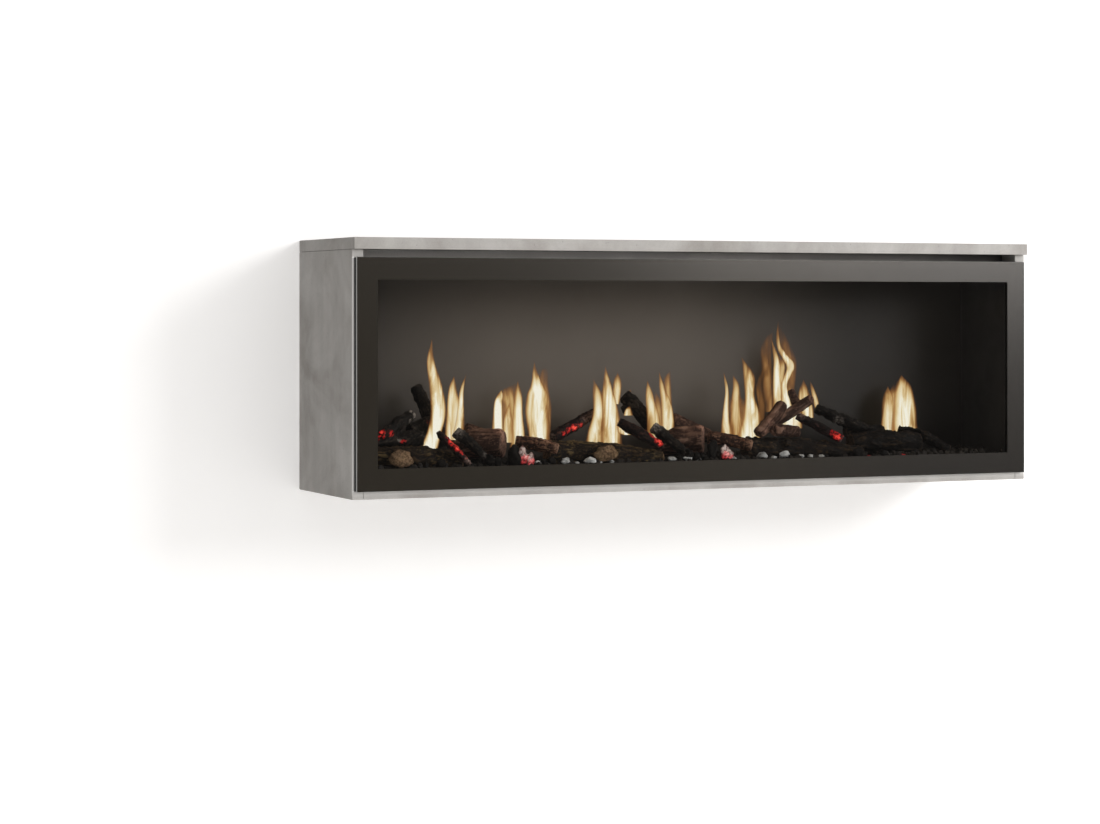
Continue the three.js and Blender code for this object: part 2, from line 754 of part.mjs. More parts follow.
const electrics = group("electrics");
add(electrics, "control_box", controlBox(), BLACK_PLASTIC);
add(electrics, "mains_inlet", mainsInlet(), BLACK_PLASTIC);
add(electrics, "control_panel", controlPanel(), BLACK_PLASTIC);
const powerRocker = add(electrics, "power_rocker", rocker(), BLACK_PLASTIC);
powerRocker.position.set(CONTROL_X, ROCKER.y, ROCKER.z);
powerRocker.rotation.x = THREE.MathUtils.degToRad(ROCKER.tilt);
for (const [name, height] of Object.entries(BUTTONS)) {
  add(electrics, name, button(), BLACK_PLASTIC).position.set(CONTROL_X, BUTTON_FRONT, height);
}

// ---- Log set ----

// Each log: the line of its heart from one end to the other, the radius at each point of that
// line, how flat its section is, and side stubs given in the same way.
const LOGS = {
  front_log_left: {
    line: [[-556, -212, 60], [-480, -213, 59], [-408, -217, 52]],
    radius: [19, 20, 14],
    stubs: [{ line: [[-538, -212, 61], [-515, -238, 60.5]], radius: [13, 13] }],
    material: BARK,
  },
  front_log_middle: {
    line: [[-262, -206, 60], [-170, -212, 58], [-64, -219, 49]],
    radius: [21, 20, 13],
    stubs: [{ line: [[-190, -212, 61], [-171, -238, 60.5]], radius: [14, 13] }],
    material: BARK,
  },
  front_log_right: {
    line: [[88, -208, 60], [190, -214, 57], [304, -214, 47]],
    radius: [20, 20, 16],
    stubs: [{ line: [[150, -214, 60], [160, -232, 70]], radius: [11, 8] }],
    material: BARK,
  },
  brown_log_left: {
    line: [[-402, -168, 70], [-370, -192, 78], [-338, -216, 77]],
    radius: [20, 25, 24],
    stubs: [{ line: [[-382, -160, 96], [-326, -168, 78]], radius: [15, 13] }],
    material: BROWN_WOOD,
  },
  brown_log_middle: {
    line: [[-54, -168, 68], [-22, -192, 77], [12, -214, 76]],
    radius: [20, 25, 25],
    stubs: [{ line: [[-22, -162, 104], [44, -170, 80]], radius: [17, 13] }],
    material: BROWN_WOOD,
  },
  brown_log_right: {
    line: [[298, -186, 62], [360, -194, 64], [424, -198, 60]],
    radius: [20, 24, 21],
    stubs: [{ line: [[300, -165, 84], [372, -172, 82]], radius: [11, 12] }],
    material: BARK,
  },
  bark_log_left: {
    line: [[-312, -200, 80], [-282, -212, 76], [-250, -228, 67]],
    radius: [12, 12, 10],
    material: BROWN_WOOD,
  },
  bark_log_middle: {
    line: [[26, -200, 80], [58, -212, 75], [92, -230, 65]],
    radius: [12, 12, 10],
    material: BROWN_WOOD,
  },
  bark_log_right: {
    line: [[392, -186, 84], [436, -200, 72], [474, -216, 50]],
    radius: [10, 12, 11],
    material: BARK,
  },
  ember_split_left: {
    line: [[-454, -230, 98], [-430, -235, 74], [-405, -240, 48]],
    radius: [7, 10, 8],
    flat: 0.55,
    material: EMBER,
  },
  ember_split_middle: {
    line: [[-136, -206, 108], [-104, -226, 88], [-72, -236, 66]],
    radius: [9, 12, 9],
    flat: 0.6,
    material: EMBER,
  },
  ember_split_right: {
    line: [[192, -196, 112], [226, -216, 92], [258, -232, 72]],
    radius: [9, 11, 9],
    flat: 0.6,
    material: EMBER,
  },
  charcoal_branch_left: {
    line: [[-418, -212, 99], [-398, -222, 80], [-372, -236, 54]],
    radius: [11, 11, 9],
    material: CHARCOAL,
  },
  charcoal_branch_middle: {
    line: [[-76, -206, 100], [-52, -222, 78], [-26, -238, 52]],
    radius: [11, 11, 9],
    material: CHARCOAL,
  },
  charcoal_branch_right: {
    line: [[250, -158, 122], [296, -172, 100], [342, -186, 80]],
    radius: [11, 13, 11],
    material: CHARCOAL,
  },
  tall_branch_left: {
    line: [[-458, -142, 166], [-440, -150, 130], [-424, -168, 74]],
    radius: [10, 13, 15],
    stubs: [{ line: [[-478, -172, 96], [-428, -162, 112]], radius: [14, 11] }],
    material: CHARCOAL,
  },
  leaning_log_left: {
    line: [[-540, -214, 94], [-510, -202, 110], [-480, -190, 126]],
    radius: [9, 12, 10],
    stubs: [{ line: [[-548, -200, 77], [-466, -190, 86]], radius: [18, 17] }],
    material: CHARCOAL,
  },
  leaning_log_middle: {
    line: [[-100, -150, 148], [-72, -162, 116], [-42, -180, 78]],
    radius: [12, 15, 14],
    stubs: [{ line: [[-106, -156, 122], [-84, -168, 134]], radius: [8, 8] }],
    material: CHARCOAL,
  },
  red_branch_middle: {
    line: [[-240, -184, 84], [-196, -168, 102], [-152, -154, 122]],
    radius: [9, 9, 7],
    material: EMBER,
  },
  crossing_log_low: {
    line: [[112, -214, 84], [140, -208, 106], [164, -200, 131]],
    radius: [9, 10, 9],
    stubs: [{ line: [[134, -226, 90], [188, -206, 86]], radius: [8, 9] }],
    material: BROWN_WOOD,
  },
  crossing_log_high: {
    line: [[142, -176, 92], [190, -170, 112], [238, -164, 138]],
    radius: [10, 9, 8],
    stubs: [{ line: [[214, -162, 122], [206, -152, 152]], radius: [7, 6] }],
    material: BROWN_WOOD,
  },
};

const SIDES = 10;
const RINGS = 7;

// How far a surface stands in or out at an angle and a place along the log, from -1 to 1.
function grain(angle, along, seed) {
  const slow = Math.sin(2 * angle + seed + along * 2.1);
  const fast = Math.sin(3 * angle - seed * 1.7 + along * 5.3);
  return 0.55 * slow + 0.45 * fast;
}

// Rings of points along the line, closed by flat ends; `grow` swells the log on every side.
function limb({ line, radius, flat = 1 }, seed, grow = 0) {
  const curve = new THREE.CatmullRomCurve3(line.map((point) => new THREE.Vector3(...point)));
  const { tangents, normals, binormals } = curve.computeFrenetFrames(RINGS - 1);
  const corners = [];
  for (let i = 0; i < RINGS; i++) {
    const along = i / (RINGS - 1);
    const centre = curve.getPointAt(along);
    const end = i === 0 ? -grow : i === RINGS - 1 ? grow : 0;
    centre.addScaledVector(tangents[i], end);
    const place = along * (radius.length - 1);
    const segment = Math.min(Math.floor(place), radius.length - 2);
    const girth = THREE.MathUtils.lerp(radius[segment], radius[segment + 1], place - segment);
    for (let k = 0; k < SIDES; k++) {
      const angle = (2 * Math.PI * k) / SIDES;
      const reach = girth * (1 + 0.09 * grain(angle, along, seed)) + grow;
      const across = reach * Math.cos(angle);
      const through = reach * Math.sin(angle) * flat;
      const corner = centre.clone().addScaledVector(normals[i], across);
      corners.push(corner.addScaledVector(binormals[i], through));
    }
    if (i === 0) corners.unshift(centre.clone());
    if (i === RINGS - 1) corners.push(centre.clone());
  }
  return toSolid(loft(corners));
}

// Faces over the corners of a limb: first the near end's middle, then the rings, then the far one.
function loft(corners) {
  const faces = [];
  const at = (ring, k) => 1 + ring * SIDES + (k % SIDES);
  const last = corners.length - 1;
  for (let k = 0; k < SIDES; k++) {
    faces.push(0, at(0, k + 1), at(0, k));
    for (let ring = 0; ring < RINGS - 1; ring++) {
      const [a, b] = [at(ring, k), at(ring, k + 1)];
      const [c, d] = [at(ring + 1, k), at(ring + 1, k + 1)];
      faces.push(a, b, d, a, d, c);
    }
    faces.push(last, at(RINGS - 1, k), at(RINGS - 1, k + 1));
  }
  const geometry = new THREE.BufferGeometry().setFromPoints(corners);
  geometry.setIndex(faces);
  return geometry;
}

function logSolid(log, seed, grow = 0) {
  const stubs = (log.stubs ?? []).map((stub, i) => limb(stub, seed + i + 1, grow));
  return join(limb(log, seed, grow), ...stubs);
}

const meets = (a, b) => {
  const [p, q] = [a.boundingBox(), b.boundingBox()];
  return [0, 1, 2].every((i) => p.min[i] < q.max[i] && q.min[i] < p.max[i]);
};

// Every log is hollowed where it lies on those placed before it.
const logSet = group("log_set");
const placed = [];
Object.entries(LOGS).forEach(([name, log], seed) => {
  const whole = logSolid(log, seed);
  const seated = cut(whole, ...placed.filter((other) => meets(whole, other)));
  add(logSet, name, mainPiece(seated), log.material);
  placed.push(logSolid(log, seed, GAP));
});

// A moulded tray with an uneven crust, stones along its front edge and a hollow for the lights.
function emberBed() {
  const reach = WALL_X - 1;
  const [near, far] = [frontFold + GAP, SCREEN.y - GAP];
  const slab = new THREE.BoxGeometry(2 * reach, far - near, BED.top - BED.bottom, 26, 4, 1);
  slab.translate(0, (near + far) / 2, (BED.top + BED.bottom) / 2);
  const corners = slab.getAttribute("position");
  for (let i = 0; i < corners.count; i++) {
    if (corners.getZ(i) < BED.top - 1) continue;
    const [x, y] = [corners.getX(i), corners.getY(i)];
    const bump = Math.sin(x * 0.071) * Math.cos(y * 0.11) + 0.6 * Math.sin(x * 0.19 + y * 0.07);
    corners.setZ(i, BED.top + 1.6 * bump + (y > -225 ? 2 : 0));
  }
  const stones = STONES.x.map((x) => {
    const radius = STONES.large.includes(x) ? 6.2 : 4.6;
    const stone = new THREE.IcosahedronGeometry(radius, 0).scale(1.3, 0.9, 0.85).rotateZ(x);
    return toSolid(stone.translate(x, STONES.y, STONES.z));
  });
  const coals = [[-327, 58], [20, 56], [-312, 52], [36, 52]].map(([x, z], i) => {
    const lump = new THREE.IcosahedronGeometry(i < 2 ? 10 : 8, 0).scale(0.9, 0.8, 1.1);
    return toSolid(lump.translate(x, -236, z));
  });
  const hollow = box(-reach + 6, reach - 6, near + 5, far - 5, BED.bottom - 1, BED.crust);
  const crust = join(toSolid(slab), ...stones, ...coals);
  return mainPiece(cut(crust, hollow, ...placed.filter((log) => meets(crust, log))));
}

add(flameUnit, "ember_bed", emberBed(), ASH_BED);

// ---- The origin goes to the middle of the rail's flat face on the wall ----

fireplace.children.forEach((part) => {
  part.position.z -= railMiddle;
});

export default fireplace;
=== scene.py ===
# %% [markdown]
# # Dressing a wall-hung electric fireplace
#
# The object is a cabinet of concrete-look boards that hangs on a wall. Behind one sheet of glass lie
# moulded logs on a bed of coals, and a picture of flames stands among them. The solids come from a
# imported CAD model, which fixes every size. This lesson gives them their looks, piece by piece.
#
# We load the solids first. Everything else is measured from them.

# %% Load the frame
import json
import math

import bmesh
import bpy
import numpy as np
from mathutils import Matrix, Vector, noise


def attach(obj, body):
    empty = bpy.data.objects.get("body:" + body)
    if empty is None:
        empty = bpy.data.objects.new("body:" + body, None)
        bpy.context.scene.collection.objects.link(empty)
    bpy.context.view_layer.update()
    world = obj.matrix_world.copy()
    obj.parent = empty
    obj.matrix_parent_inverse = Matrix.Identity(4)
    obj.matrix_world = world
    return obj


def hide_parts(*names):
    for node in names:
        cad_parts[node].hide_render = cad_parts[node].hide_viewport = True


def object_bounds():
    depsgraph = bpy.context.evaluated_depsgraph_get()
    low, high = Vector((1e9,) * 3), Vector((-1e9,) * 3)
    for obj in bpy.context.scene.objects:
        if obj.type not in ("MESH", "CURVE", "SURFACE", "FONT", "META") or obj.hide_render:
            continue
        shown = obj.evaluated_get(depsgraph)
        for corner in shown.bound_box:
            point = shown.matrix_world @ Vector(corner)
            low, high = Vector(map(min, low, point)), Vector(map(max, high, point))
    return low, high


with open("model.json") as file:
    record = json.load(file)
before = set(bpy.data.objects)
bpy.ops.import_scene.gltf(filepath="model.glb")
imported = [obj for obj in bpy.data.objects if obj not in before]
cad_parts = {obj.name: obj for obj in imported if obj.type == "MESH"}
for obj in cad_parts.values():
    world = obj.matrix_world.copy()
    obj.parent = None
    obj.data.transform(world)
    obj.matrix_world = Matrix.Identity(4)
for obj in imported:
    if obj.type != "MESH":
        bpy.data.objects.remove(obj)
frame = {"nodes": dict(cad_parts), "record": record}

cad_box = [list(corner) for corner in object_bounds()]
UNDERSIDE = cad_box[0][2]
print("solids:", len(frame["nodes"]), "box:", cad_box)


# %% [markdown]
# ## Small helpers
#
# Workshop drawings give millimetres from the wall, the middle and the underside, so `at` turns such a
# place into the scene's metres. `Nodes` adds one node to a tree in one line, for shaders and for
# Geometry Nodes alike: we could write out each link, but a long list of links hides the idea.

# %% Places and node trees
def at(x, y, z):
    """A place in millimetres from the middle, the wall and the underside, in the scene's metres."""
    return Vector((x / 1000, y / 1000, z / 1000 + UNDERSIDE))


class Nodes:
    """Adds nodes to a tree. A call makes one node, fills its inputs and returns one output."""

    def __init__(self, tree):
        self.tree = tree

    def __call__(self, kind, inputs=(), out=0, **settings):
        node = self.tree.nodes.new(kind)
        for key, value in settings.items():
            setattr(node, key, value)
        for key, value in dict(inputs).items():
            if isinstance(value, bpy.types.NodeSocket):
                self.tree.links.new(value, node.inputs[key])
            else:
                node.inputs[key].default_value = value
        return node.outputs[out] if node.outputs else node

    def math(self, operation, a, b=0.0, clamp=False):
        return self("ShaderNodeMath", {0: a, 1: b}, operation=operation, use_clamp=clamp)

    def times(self, product, *factors):
        for factor in factors:
            product = self.math("MULTIPLY", product, factor)
        return product

    def plus(self, total, *terms):
        for term in terms:
            total = self.math("ADD", total, term)
        return total

    def minus(self, a, b):
        return self.math("SUBTRACT", a, b)

    def spread(self, value, low, high, to_low=0.0, to_high=1.0):
        """A value moved smoothly from one range to another, and held at its ends."""
        inputs = {0: value, 1: low, 2: high, 3: to_low, 4: to_high}
        return self("ShaderNodeMapRange", inputs, interpolation_type="SMOOTHSTEP")

    def near(self, value, target, reach):
        """1 where a value lies within reach of the target, and 0 elsewhere."""
        return self.math("LESS_THAN", self.math("ABSOLUTE", self.minus(value, target)), reach)

    def within(self, value, low, high):
        return self.near(value, (low + high) / 2, (high - low) / 2)

    def vector(self, operation, a, b, out=0):
        return self("ShaderNodeVectorMath", {0: a, 1: b}, out=out, operation=operation)

    def scaled(self, a, factor):
        return self("ShaderNodeVectorMath", {0: a, "Scale": factor}, operation="SCALE")

    def parts(self, place):
        """The x, y and z of a place."""
        return self("ShaderNodeSeparateXYZ", {0: place}).node.outputs

    def part(self, place, axis):
        return self.parts(place)[axis]


print("the underside's middle:", at(0, 0, 0))


# %% [markdown]
# Colour needs its own few calls. A ramp reads a colour off a value, and a blend lays one colour over
# another. Most textures here are clouds of noise, or clouds drawn out into streaks. They go into a
# second class that builds on the first, so that both can be used in the same breath.

# %% Colours and textures
class Paint(Nodes):
    """Nodes with colours. A colour is a socket, three numbers, or one number for a grey."""

    def ramp(self, value, stops):
        ramp = self.tree.nodes.new("ShaderNodeValToRGB")
        self.tree.links.new(value, ramp.inputs[0])
        elements = ramp.color_ramp.elements
        elements[0].position, elements[1].position = stops[0][0], stops[-1][0]
        while len(elements) < len(stops):
            elements.new(stops[len(elements) - 1][0])
        for element, (_, colour) in zip(elements, stops):
            shade = colour if isinstance(colour, tuple) else (colour,) * 3
            element.color = (*shade, 1)
        return ramp.outputs[0]

    def blend(self, factor, a, b, mode="MIX"):
        a, b = (c if isinstance(c, bpy.types.NodeSocket) else (*c, 1) for c in (a, b))
        return self("ShaderNodeMix", {0: factor, 6: a, 7: b}, 2, data_type="RGBA", blend_type=mode)

    def shaded(self, colour, value, stops, amount=1.0):
        """The colour, darkened by the greys that a ramp reads off a value."""
        return self.blend(amount, colour, self.ramp(value, stops), "MULTIPLY")

    def cloud(self, place, scale, detail=4.0, roughness=0.55, distortion=0.0):
        return self("ShaderNodeTexNoise", {"Vector": place, "Scale": scale, "Detail": detail,
                                           "Roughness": roughness, "Distortion": distortion})

    def streaks(self, place, scales, *texture):
        """A cloud with its own scale along each axis."""
        return self.cloud(self.vector("MULTIPLY", place, scales), 1.0, *texture)


# %% [markdown]
# ## Finishes
#
# A finish is a material made of nodes. All of ours read object coordinates, which are metres here,
# so a scale of 1000 would make spots of a millimetre. `finish` starts a material with a Principled
# shader, sets plain numbers straight on it, and links only what varies over the surface.

# %% The start of a finish
def blank_material(name):
    """A new material without nodes, and what fills it."""
    made = bpy.data.materials.new(name)
    made.use_nodes = True
    made.node_tree.nodes.clear()
    print("finish:", name)
    return made, Paint(made.node_tree)


def finish(name, color, roughness, bump=None, strength=0.3, distance=0.001, **others):
    """A material. What it is given are functions of (nodes, place), or plain values."""
    made, nodes = blank_material(name)
    place = nodes("ShaderNodeTexCoord", out=3)
    others.update(Base_Color=color if callable(color) else (*color, 1), Roughness=roughness)
    inputs = {key.replace("_", " "): value(nodes, place) if callable(value) else value
              for key, value in others.items()}
    if bump:
        height = {"Height": bump(nodes, place), "Strength": strength, "Distance": distance}
        inputs["Normal"] = nodes("ShaderNodeBump", height)
    nodes("ShaderNodeOutputMaterial", {"Surface": nodes("ShaderNodeBsdfPrincipled", inputs)})
    return made


# %% [markdown]
# The boards are faced with a film that looks like cast concrete: warm grey, with cloudy lighter
# and darker areas, faint streaks, small dark pinholes and a dull sheen. One noise would look like
# fog, so three sizes of noise are laid over each other, and a Voronoi pattern makes the pinholes.

# %% Concrete-look board
FRONT_EDGE, SIDE_HIGHLIGHT_FROM = -0.25, 0.5968  # how far forward and outward the painted highlight on the front edges starts
GLASS_FOOT, GLASS_HEAD = UNDERSIDE + 0.0115, UNDERSIDE + 0.3665  # the opening that the glass fills
CLOUD_OFFSET = (0.7, 2.3, 1.1)  # moves the clouds until they fall as wanted


def concrete_colour(nodes, place):
    place = nodes.vector("ADD", place, CLOUD_OFFSET)
    tone = nodes.ramp(nodes.cloud(place, 9.0, 5.0, 0.62, 0.6), [
        (0.32, (0.335, 0.315, 0.293)), (0.48, (0.415, 0.397, 0.377)), (0.7, (0.505, 0.49, 0.469))])
    streaks = nodes.streaks(place, (30.0, 30.0, 6.0), 4.0)
    tone = nodes.shaded(tone, streaks, [(0.35, 0.62), (0.7, 1.0)], 0.34)
    tone = nodes.shaded(tone, nodes.cloud(place, 420.0, 3.0, 0.7), [(0.3, 0.45), (0.6, 1.0)], 0.16)
    holes = nodes("ShaderNodeTexVoronoi", {"Vector": place, "Scale": 85.0, "Randomness": 1.0})
    return nodes.blend(nodes.spread(holes, 0.05, 0.1, 0.5, 0.0), tone, (0.16, 0.15, 0.14))


def concrete_with_painted_highlight(nodes, place):
    """The concrete, with painted light on the board fronts around the glass: a painted highlight on the side
    panels' front edges, and paler fronts above and below the glass where its shade falls.
    """
    x, y, z = nodes.parts(place)
    beside = nodes.times(nodes.math("GREATER_THAN", nodes.math("ABSOLUTE", x), SIDE_HIGHLIGHT_FROM),
                         nodes.within(z, GLASS_FOOT, GLASS_HEAD))
    above = nodes.times(nodes.math("GREATER_THAN", z, GLASS_HEAD), 0.3)
    below = nodes.times(nodes.math("LESS_THAN", z, GLASS_FOOT),
                        nodes.spread(z, UNDERSIDE + 0.003, GLASS_FOOT, 0.0, 0.6))
    # painted light: the fronts beside, above and below the glass are blended towards a pale grey
    painted_highlight = nodes.times(nodes.plus(beside, above, below), nodes.near(y, FRONT_EDGE, 0.0008))
    return nodes.blend(painted_highlight, concrete_colour(nodes, place), (0.74, 0.73, 0.71))


def concrete_bump(nodes, place):
    grain = nodes.times(nodes.cloud(place, 300.0, 4.0, 0.7), 0.4)
    return nodes.plus(grain, nodes.cloud(place, 30.0, 3.0))


def concrete_dullness(nodes, place):
    return nodes.spread(nodes.cloud(place, 9.0, 4.0), 0.3, 0.7, 0.62, 0.74)


concrete = finish("concrete_board", concrete_with_painted_highlight, concrete_dullness, concrete_bump, 0.12, 0.0006,
                  Specular_IOR_Level=0.3)


# %% [markdown]
# ## Skin, wear and sheen
#
# No surface is one flat shade. Even new plastic has a fine skin, a little unevenness in its colour
# and patches that shine less than others. Many finishes need these three, so each is a function that
# takes the numbers which differ and returns what `finish` wants: a function of (nodes, place).

# %% Looks that several finishes share
def fine_skin(scale):
    return lambda nodes, place: nodes.cloud(place, scale, 2.0)


def worn(dark, light, scale=14.0, fine=600.0):
    """Two close shades, clouded, with a finer speckle in between."""
    def colour(nodes, place):
        clouds = nodes.ramp(nodes.cloud(place, scale, 5.0), [(0.35, dark), (0.68, light)])
        return nodes.shaded(clouds, nodes.cloud(place, fine, 2.0), [(0.35, 0.8), (0.65, 1.0)], 0.6)
    return colour


def between(low, high, scale=20.0):
    return lambda nodes, place: nodes.spread(nodes.cloud(place, scale, 4.0), 0.35, 0.65, low, high)


# %% [markdown]
# ## Sheet metal, plastic and board
#
# The unit behind the glass is folded sheet with a black powder coat, which has a faint orange-peel
# skin. The hooks, the rail and the motors are zinc-plated: the zinc has crystals, called spangle,
# each with its own shade, and a Voronoi pattern gives each crystal one value. Aluminium is brushed
# along its length. The back is hardboard, brown and felted, with dark fibres.

# %% Metal, plastic and hardboard
def spangle(nodes, place):
    crystals = nodes("ShaderNodeTexVoronoi", {"Vector": place, "Scale": 130.0}, out=1)
    shade = nodes("ShaderNodeSeparateColor", {0: crystals})
    return nodes.ramp(shade, [
        (0.0, (0.42, 0.44, 0.46)), (0.6, (0.56, 0.58, 0.6)), (1.0, (0.66, 0.67, 0.68))])


def brushed(nodes, place):
    lines = nodes.streaks(place, (8.0, 900.0, 900.0), 3.0)
    return nodes.ramp(lines, [(0.3, (0.5, 0.5, 0.51)), (0.7, (0.74, 0.74, 0.75))])


def felted(nodes, place):
    fibres = nodes.ramp(nodes.streaks(place, (260.0, 260.0, 90.0), 6.0, 0.7, 1.2), [
        (0.3, (0.11, 0.07, 0.04)), (0.5, (0.2, 0.135, 0.08)), (0.75, (0.3, 0.21, 0.13))])
    return nodes.shaded(fibres, nodes.cloud(place, 6.0, 3.0), [(0.3, 0.78), (0.7, 1.0)])


def grey_with_painted_shade(nodes, place):
    """Pale grey with painted shade that is darker and darker towards the right, where the end of the slot
    above the glass lies in shade.
    """
    grey = worn((0.5, 0.48, 0.46), (0.62, 0.6, 0.58), 6.0)(nodes, place)
    return nodes.shaded(grey, nodes.spread(nodes.part(place, 0), -0.2, 0.58),
                        [(0.0, 1.0), (0.7, 0.5), (0.9, 0.3), (1.0, 0.08)])


def moulded(name, colour):
    return finish(name, colour, between(0.38, 0.5), fine_skin(1500.0), 0.12, 0.0002)


black_coat = finish("black_powder_coat", worn((0.011, 0.0105, 0.01), (0.017, 0.016, 0.015)),
                    between(0.42, 0.55), fine_skin(900.0), 0.15, 0.0003)
grey_coat = finish("grey_coat", grey_with_painted_shade, between(0.45, 0.6), fine_skin(800.0), 0.1, 0.0003,
                   Metallic=0.15)
zinc = finish("zinc_plated_steel", spangle, between(0.3, 0.45), fine_skin(200.0), 0.06, 0.0003,
              Metallic=1.0)
aluminium = finish("brushed_aluminium", brushed, between(0.25, 0.4), fine_skin(700.0), 0.05, 0.0003,
                   Metallic=1.0)
hardboard = finish("hardboard", felted, between(0.7, 0.85), fine_skin(500.0), 0.3, 0.0005)
black_plastic = worn((0.013, 0.013, 0.014), (0.021, 0.021, 0.022))
plastic = moulded("moulded_plastic", black_plastic)


# %% [markdown]
# ## The circuit strips and the flame screen
#
# A circuit strip is green lacquer over copper tracks, so darker lines on a green ground read well.
# The flame screen is a sheet of smoked acrylic, satin on its front face. A soft vignette in object
# coordinates darkens it towards its edges, most at the right and low down by the logs: this is painted
# shade, where the cabinet and the logs would shade the screen.

# %% Circuit lacquer and smoked acrylic
def lacquer(nodes, place):
    tracks = nodes("ShaderNodeTexBrick", {
        "Vector": nodes.vector("MULTIPLY", place, (60.0, 60.0, 160.0)), "Scale": 1.0,
        "Color1": (0.012, 0.09, 0.035, 1), "Color2": (0.016, 0.12, 0.045, 1),
        "Mortar": (0.006, 0.045, 0.018, 1), "Mortar Size": 0.04})
    return nodes.shaded(tracks, nodes.cloud(place, 90.0), [(0.4, 0.6), (0.6, 1.0)], 0.5)


def smoked_with_painted_shade(nodes, place):
    x, _, z = nodes.parts(place)
    # painted shade: darker towards the right, the left, the foot by the logs and the top
    right, left = nodes.spread(x, -0.03, 0.37, 1.0, 0.05), nodes.spread(x, -0.58, -0.25, 0.45, 1.0)
    foot = nodes.spread(z, UNDERSIDE + 0.07, UNDERSIDE + 0.12, 0.4, 1.0)
    head = nodes.spread(z, UNDERSIDE + 0.18, UNDERSIDE + 0.34, 1.0, 0.74)
    tone = nodes.ramp(nodes.cloud(place, 4.0, 3.0), [
        (0.3, (0.071, 0.062, 0.053)), (0.7, (0.082, 0.072, 0.062))])
    return nodes.blend(nodes.times(right, left, foot, head), (0.008, 0.007, 0.006), tone)


circuit = finish("circuit_lacquer", lacquer, 0.35, fine_skin(400.0), 0.1, 0.0003)
screen_finish = finish("smoked_acrylic", smoked_with_painted_shade, between(0.42, 0.5), fine_skin(900.0), 0.03, 0.0002,
                       Specular_IOR_Level=0.12)


# %% [markdown]
# ## The glass
#
# The pane is clear in the middle, and its border is printed on the back with dark enamel that
# spreads a soft sheen. Its four edges are ground, so they look pale. Real glass in a path tracer
# turns light into noise, so the clear part lets rays straight through, mixed with a mirror that grows
# towards a grazing view. A Fresnel node would close the pane's inner face beyond 44 degrees, so the
# mirror follows Layer Weight's Facing, which is the same from both sides. One Principled shader does
# for border and mirror alike, with masks in object coordinates.

# %% Pane with a printed border
PANE_HALF, PANE_LOW, PANE_HIGH = 0.5955, UNDERSIDE + 0.012, UNDERSIDE + 0.366
WINDOW = (0.5615, UNDERSIDE + 0.046, UNDERSIDE + 0.332)
FACE = (PANE_HALF - 0.0006, PANE_LOW + 0.0001, PANE_HIGH - 0.0001)  # all but the ground edges
HEAD_ON_MIRROR = 0.035  # the share of light that one face of a pane throws back straight on


def inside(nodes, place, half, low, high):
    """1 within a rectangle seen from the front, and 0 outside it."""
    x, _, z = nodes.parts(place)
    return nodes.times(nodes.within(x, -half, half), nodes.within(z, low, high))


def glass_finish():
    made, nodes = blank_material("bordered_glass")
    place = nodes("ShaderNodeTexCoord", out=3)
    window = inside(nodes, place, *WINDOW)
    # painted shade: the enamel's colour is darker towards the right
    enamel_and_painted_shade = nodes.ramp(nodes.spread(nodes.part(place, 0), 0.0, 0.5), [
        (0.0, (0.0165, 0.0128, 0.0078)), (1.0, (0.0085, 0.0065, 0.0045))])
    border = nodes.blend(inside(nodes, place, *FACE), (0.42, 0.43, 0.42), enamel_and_painted_shade)
    shader = nodes("ShaderNodeBsdfPrincipled", {
        "Base Color": nodes.blend(window, border, (1.0, 1.0, 1.0)), "Metallic": window,
        "Roughness": nodes.spread(window, 0.0, 1.0, 0.22, 0.012), "Specular IOR Level": 0.8})
    facing = nodes("ShaderNodeLayerWeight", {"Blend": 0.5}, out=1)
    mirrored = nodes.spread(nodes.math("POWER", facing, 5.0), 0.0, 1.0, HEAD_ON_MIRROR, 1.0)
    cover = nodes("ShaderNodeMix", {0: window, 2: 1.0, 3: mirrored}, data_type="FLOAT")
    clear = nodes("ShaderNodeBsdfTransparent")
    pane = nodes("ShaderNodeMixShader", {0: cover, 1: clear, 2: shader})
    nodes("ShaderNodeOutputMaterial", {"Surface": pane})
    return made


bordered_glass = glass_finish()


# %% [markdown]
# ## Blades and marks
#
# Two plastic parts show a second colour. The mains inlet holds three metal blades in its socket, and
# the rocker switch is printed with a bar for on and a ring for off. Both are one solid, so masks in
# object coordinates pick out the blades and the print: separate pieces would be tiny and loose.

# %% Masks for the inlet's blades and the rocker's print
BLADES = ((0.498, 0.108), (0.505, 0.1122), (0.512, 0.108))  # across, and above the underside
ROCKER_MIDDLE, BAR_HEIGHT, RING_HEIGHT = 0.5712, UNDERSIDE + 0.1495, UNDERSIDE + 0.1405


def bladed(nodes, place):
    x, y, z = nodes.parts(place)
    one, two, three = (nodes.times(nodes.near(x, across, 0.0011), nodes.near(z, UNDERSIDE + up, 0.0021))
                       for across, up in BLADES)
    blades = nodes.times(nodes.plus(one, two, three), nodes.near(y, -0.041, 0.0063))
    return nodes.blend(blades, black_plastic(nodes, place), (0.6, 0.58, 0.53))


def printed(nodes, place):
    x, _, z = nodes.parts(place)
    across, up = nodes.minus(x, ROCKER_MIDDLE), nodes.minus(z, RING_HEIGHT)
    bar = nodes.times(nodes.near(across, 0.0, 0.0004), nodes.near(z, BAR_HEIGHT, 0.0016))
    radius = nodes.math("SQRT", nodes.plus(nodes.times(across, across), nodes.times(up, up)))
    marks = nodes.math("ADD", bar, nodes.near(radius, 0.0015, 0.0004), clamp=True)
    return nodes.blend(marks, black_plastic(nodes, place), (0.8, 0.8, 0.78))


inlet_plastic = moulded("inlet_with_blades", bladed)
rocker_plastic = moulded("printed_rocker", printed)


# %% [markdown]
# ## Finishes onto the solids
#
# The solids already carry the record's material slots. A solid whose shape is right stays, and we
# only exchange the material in its slot. Going by slot name keeps the record and the picture in step.

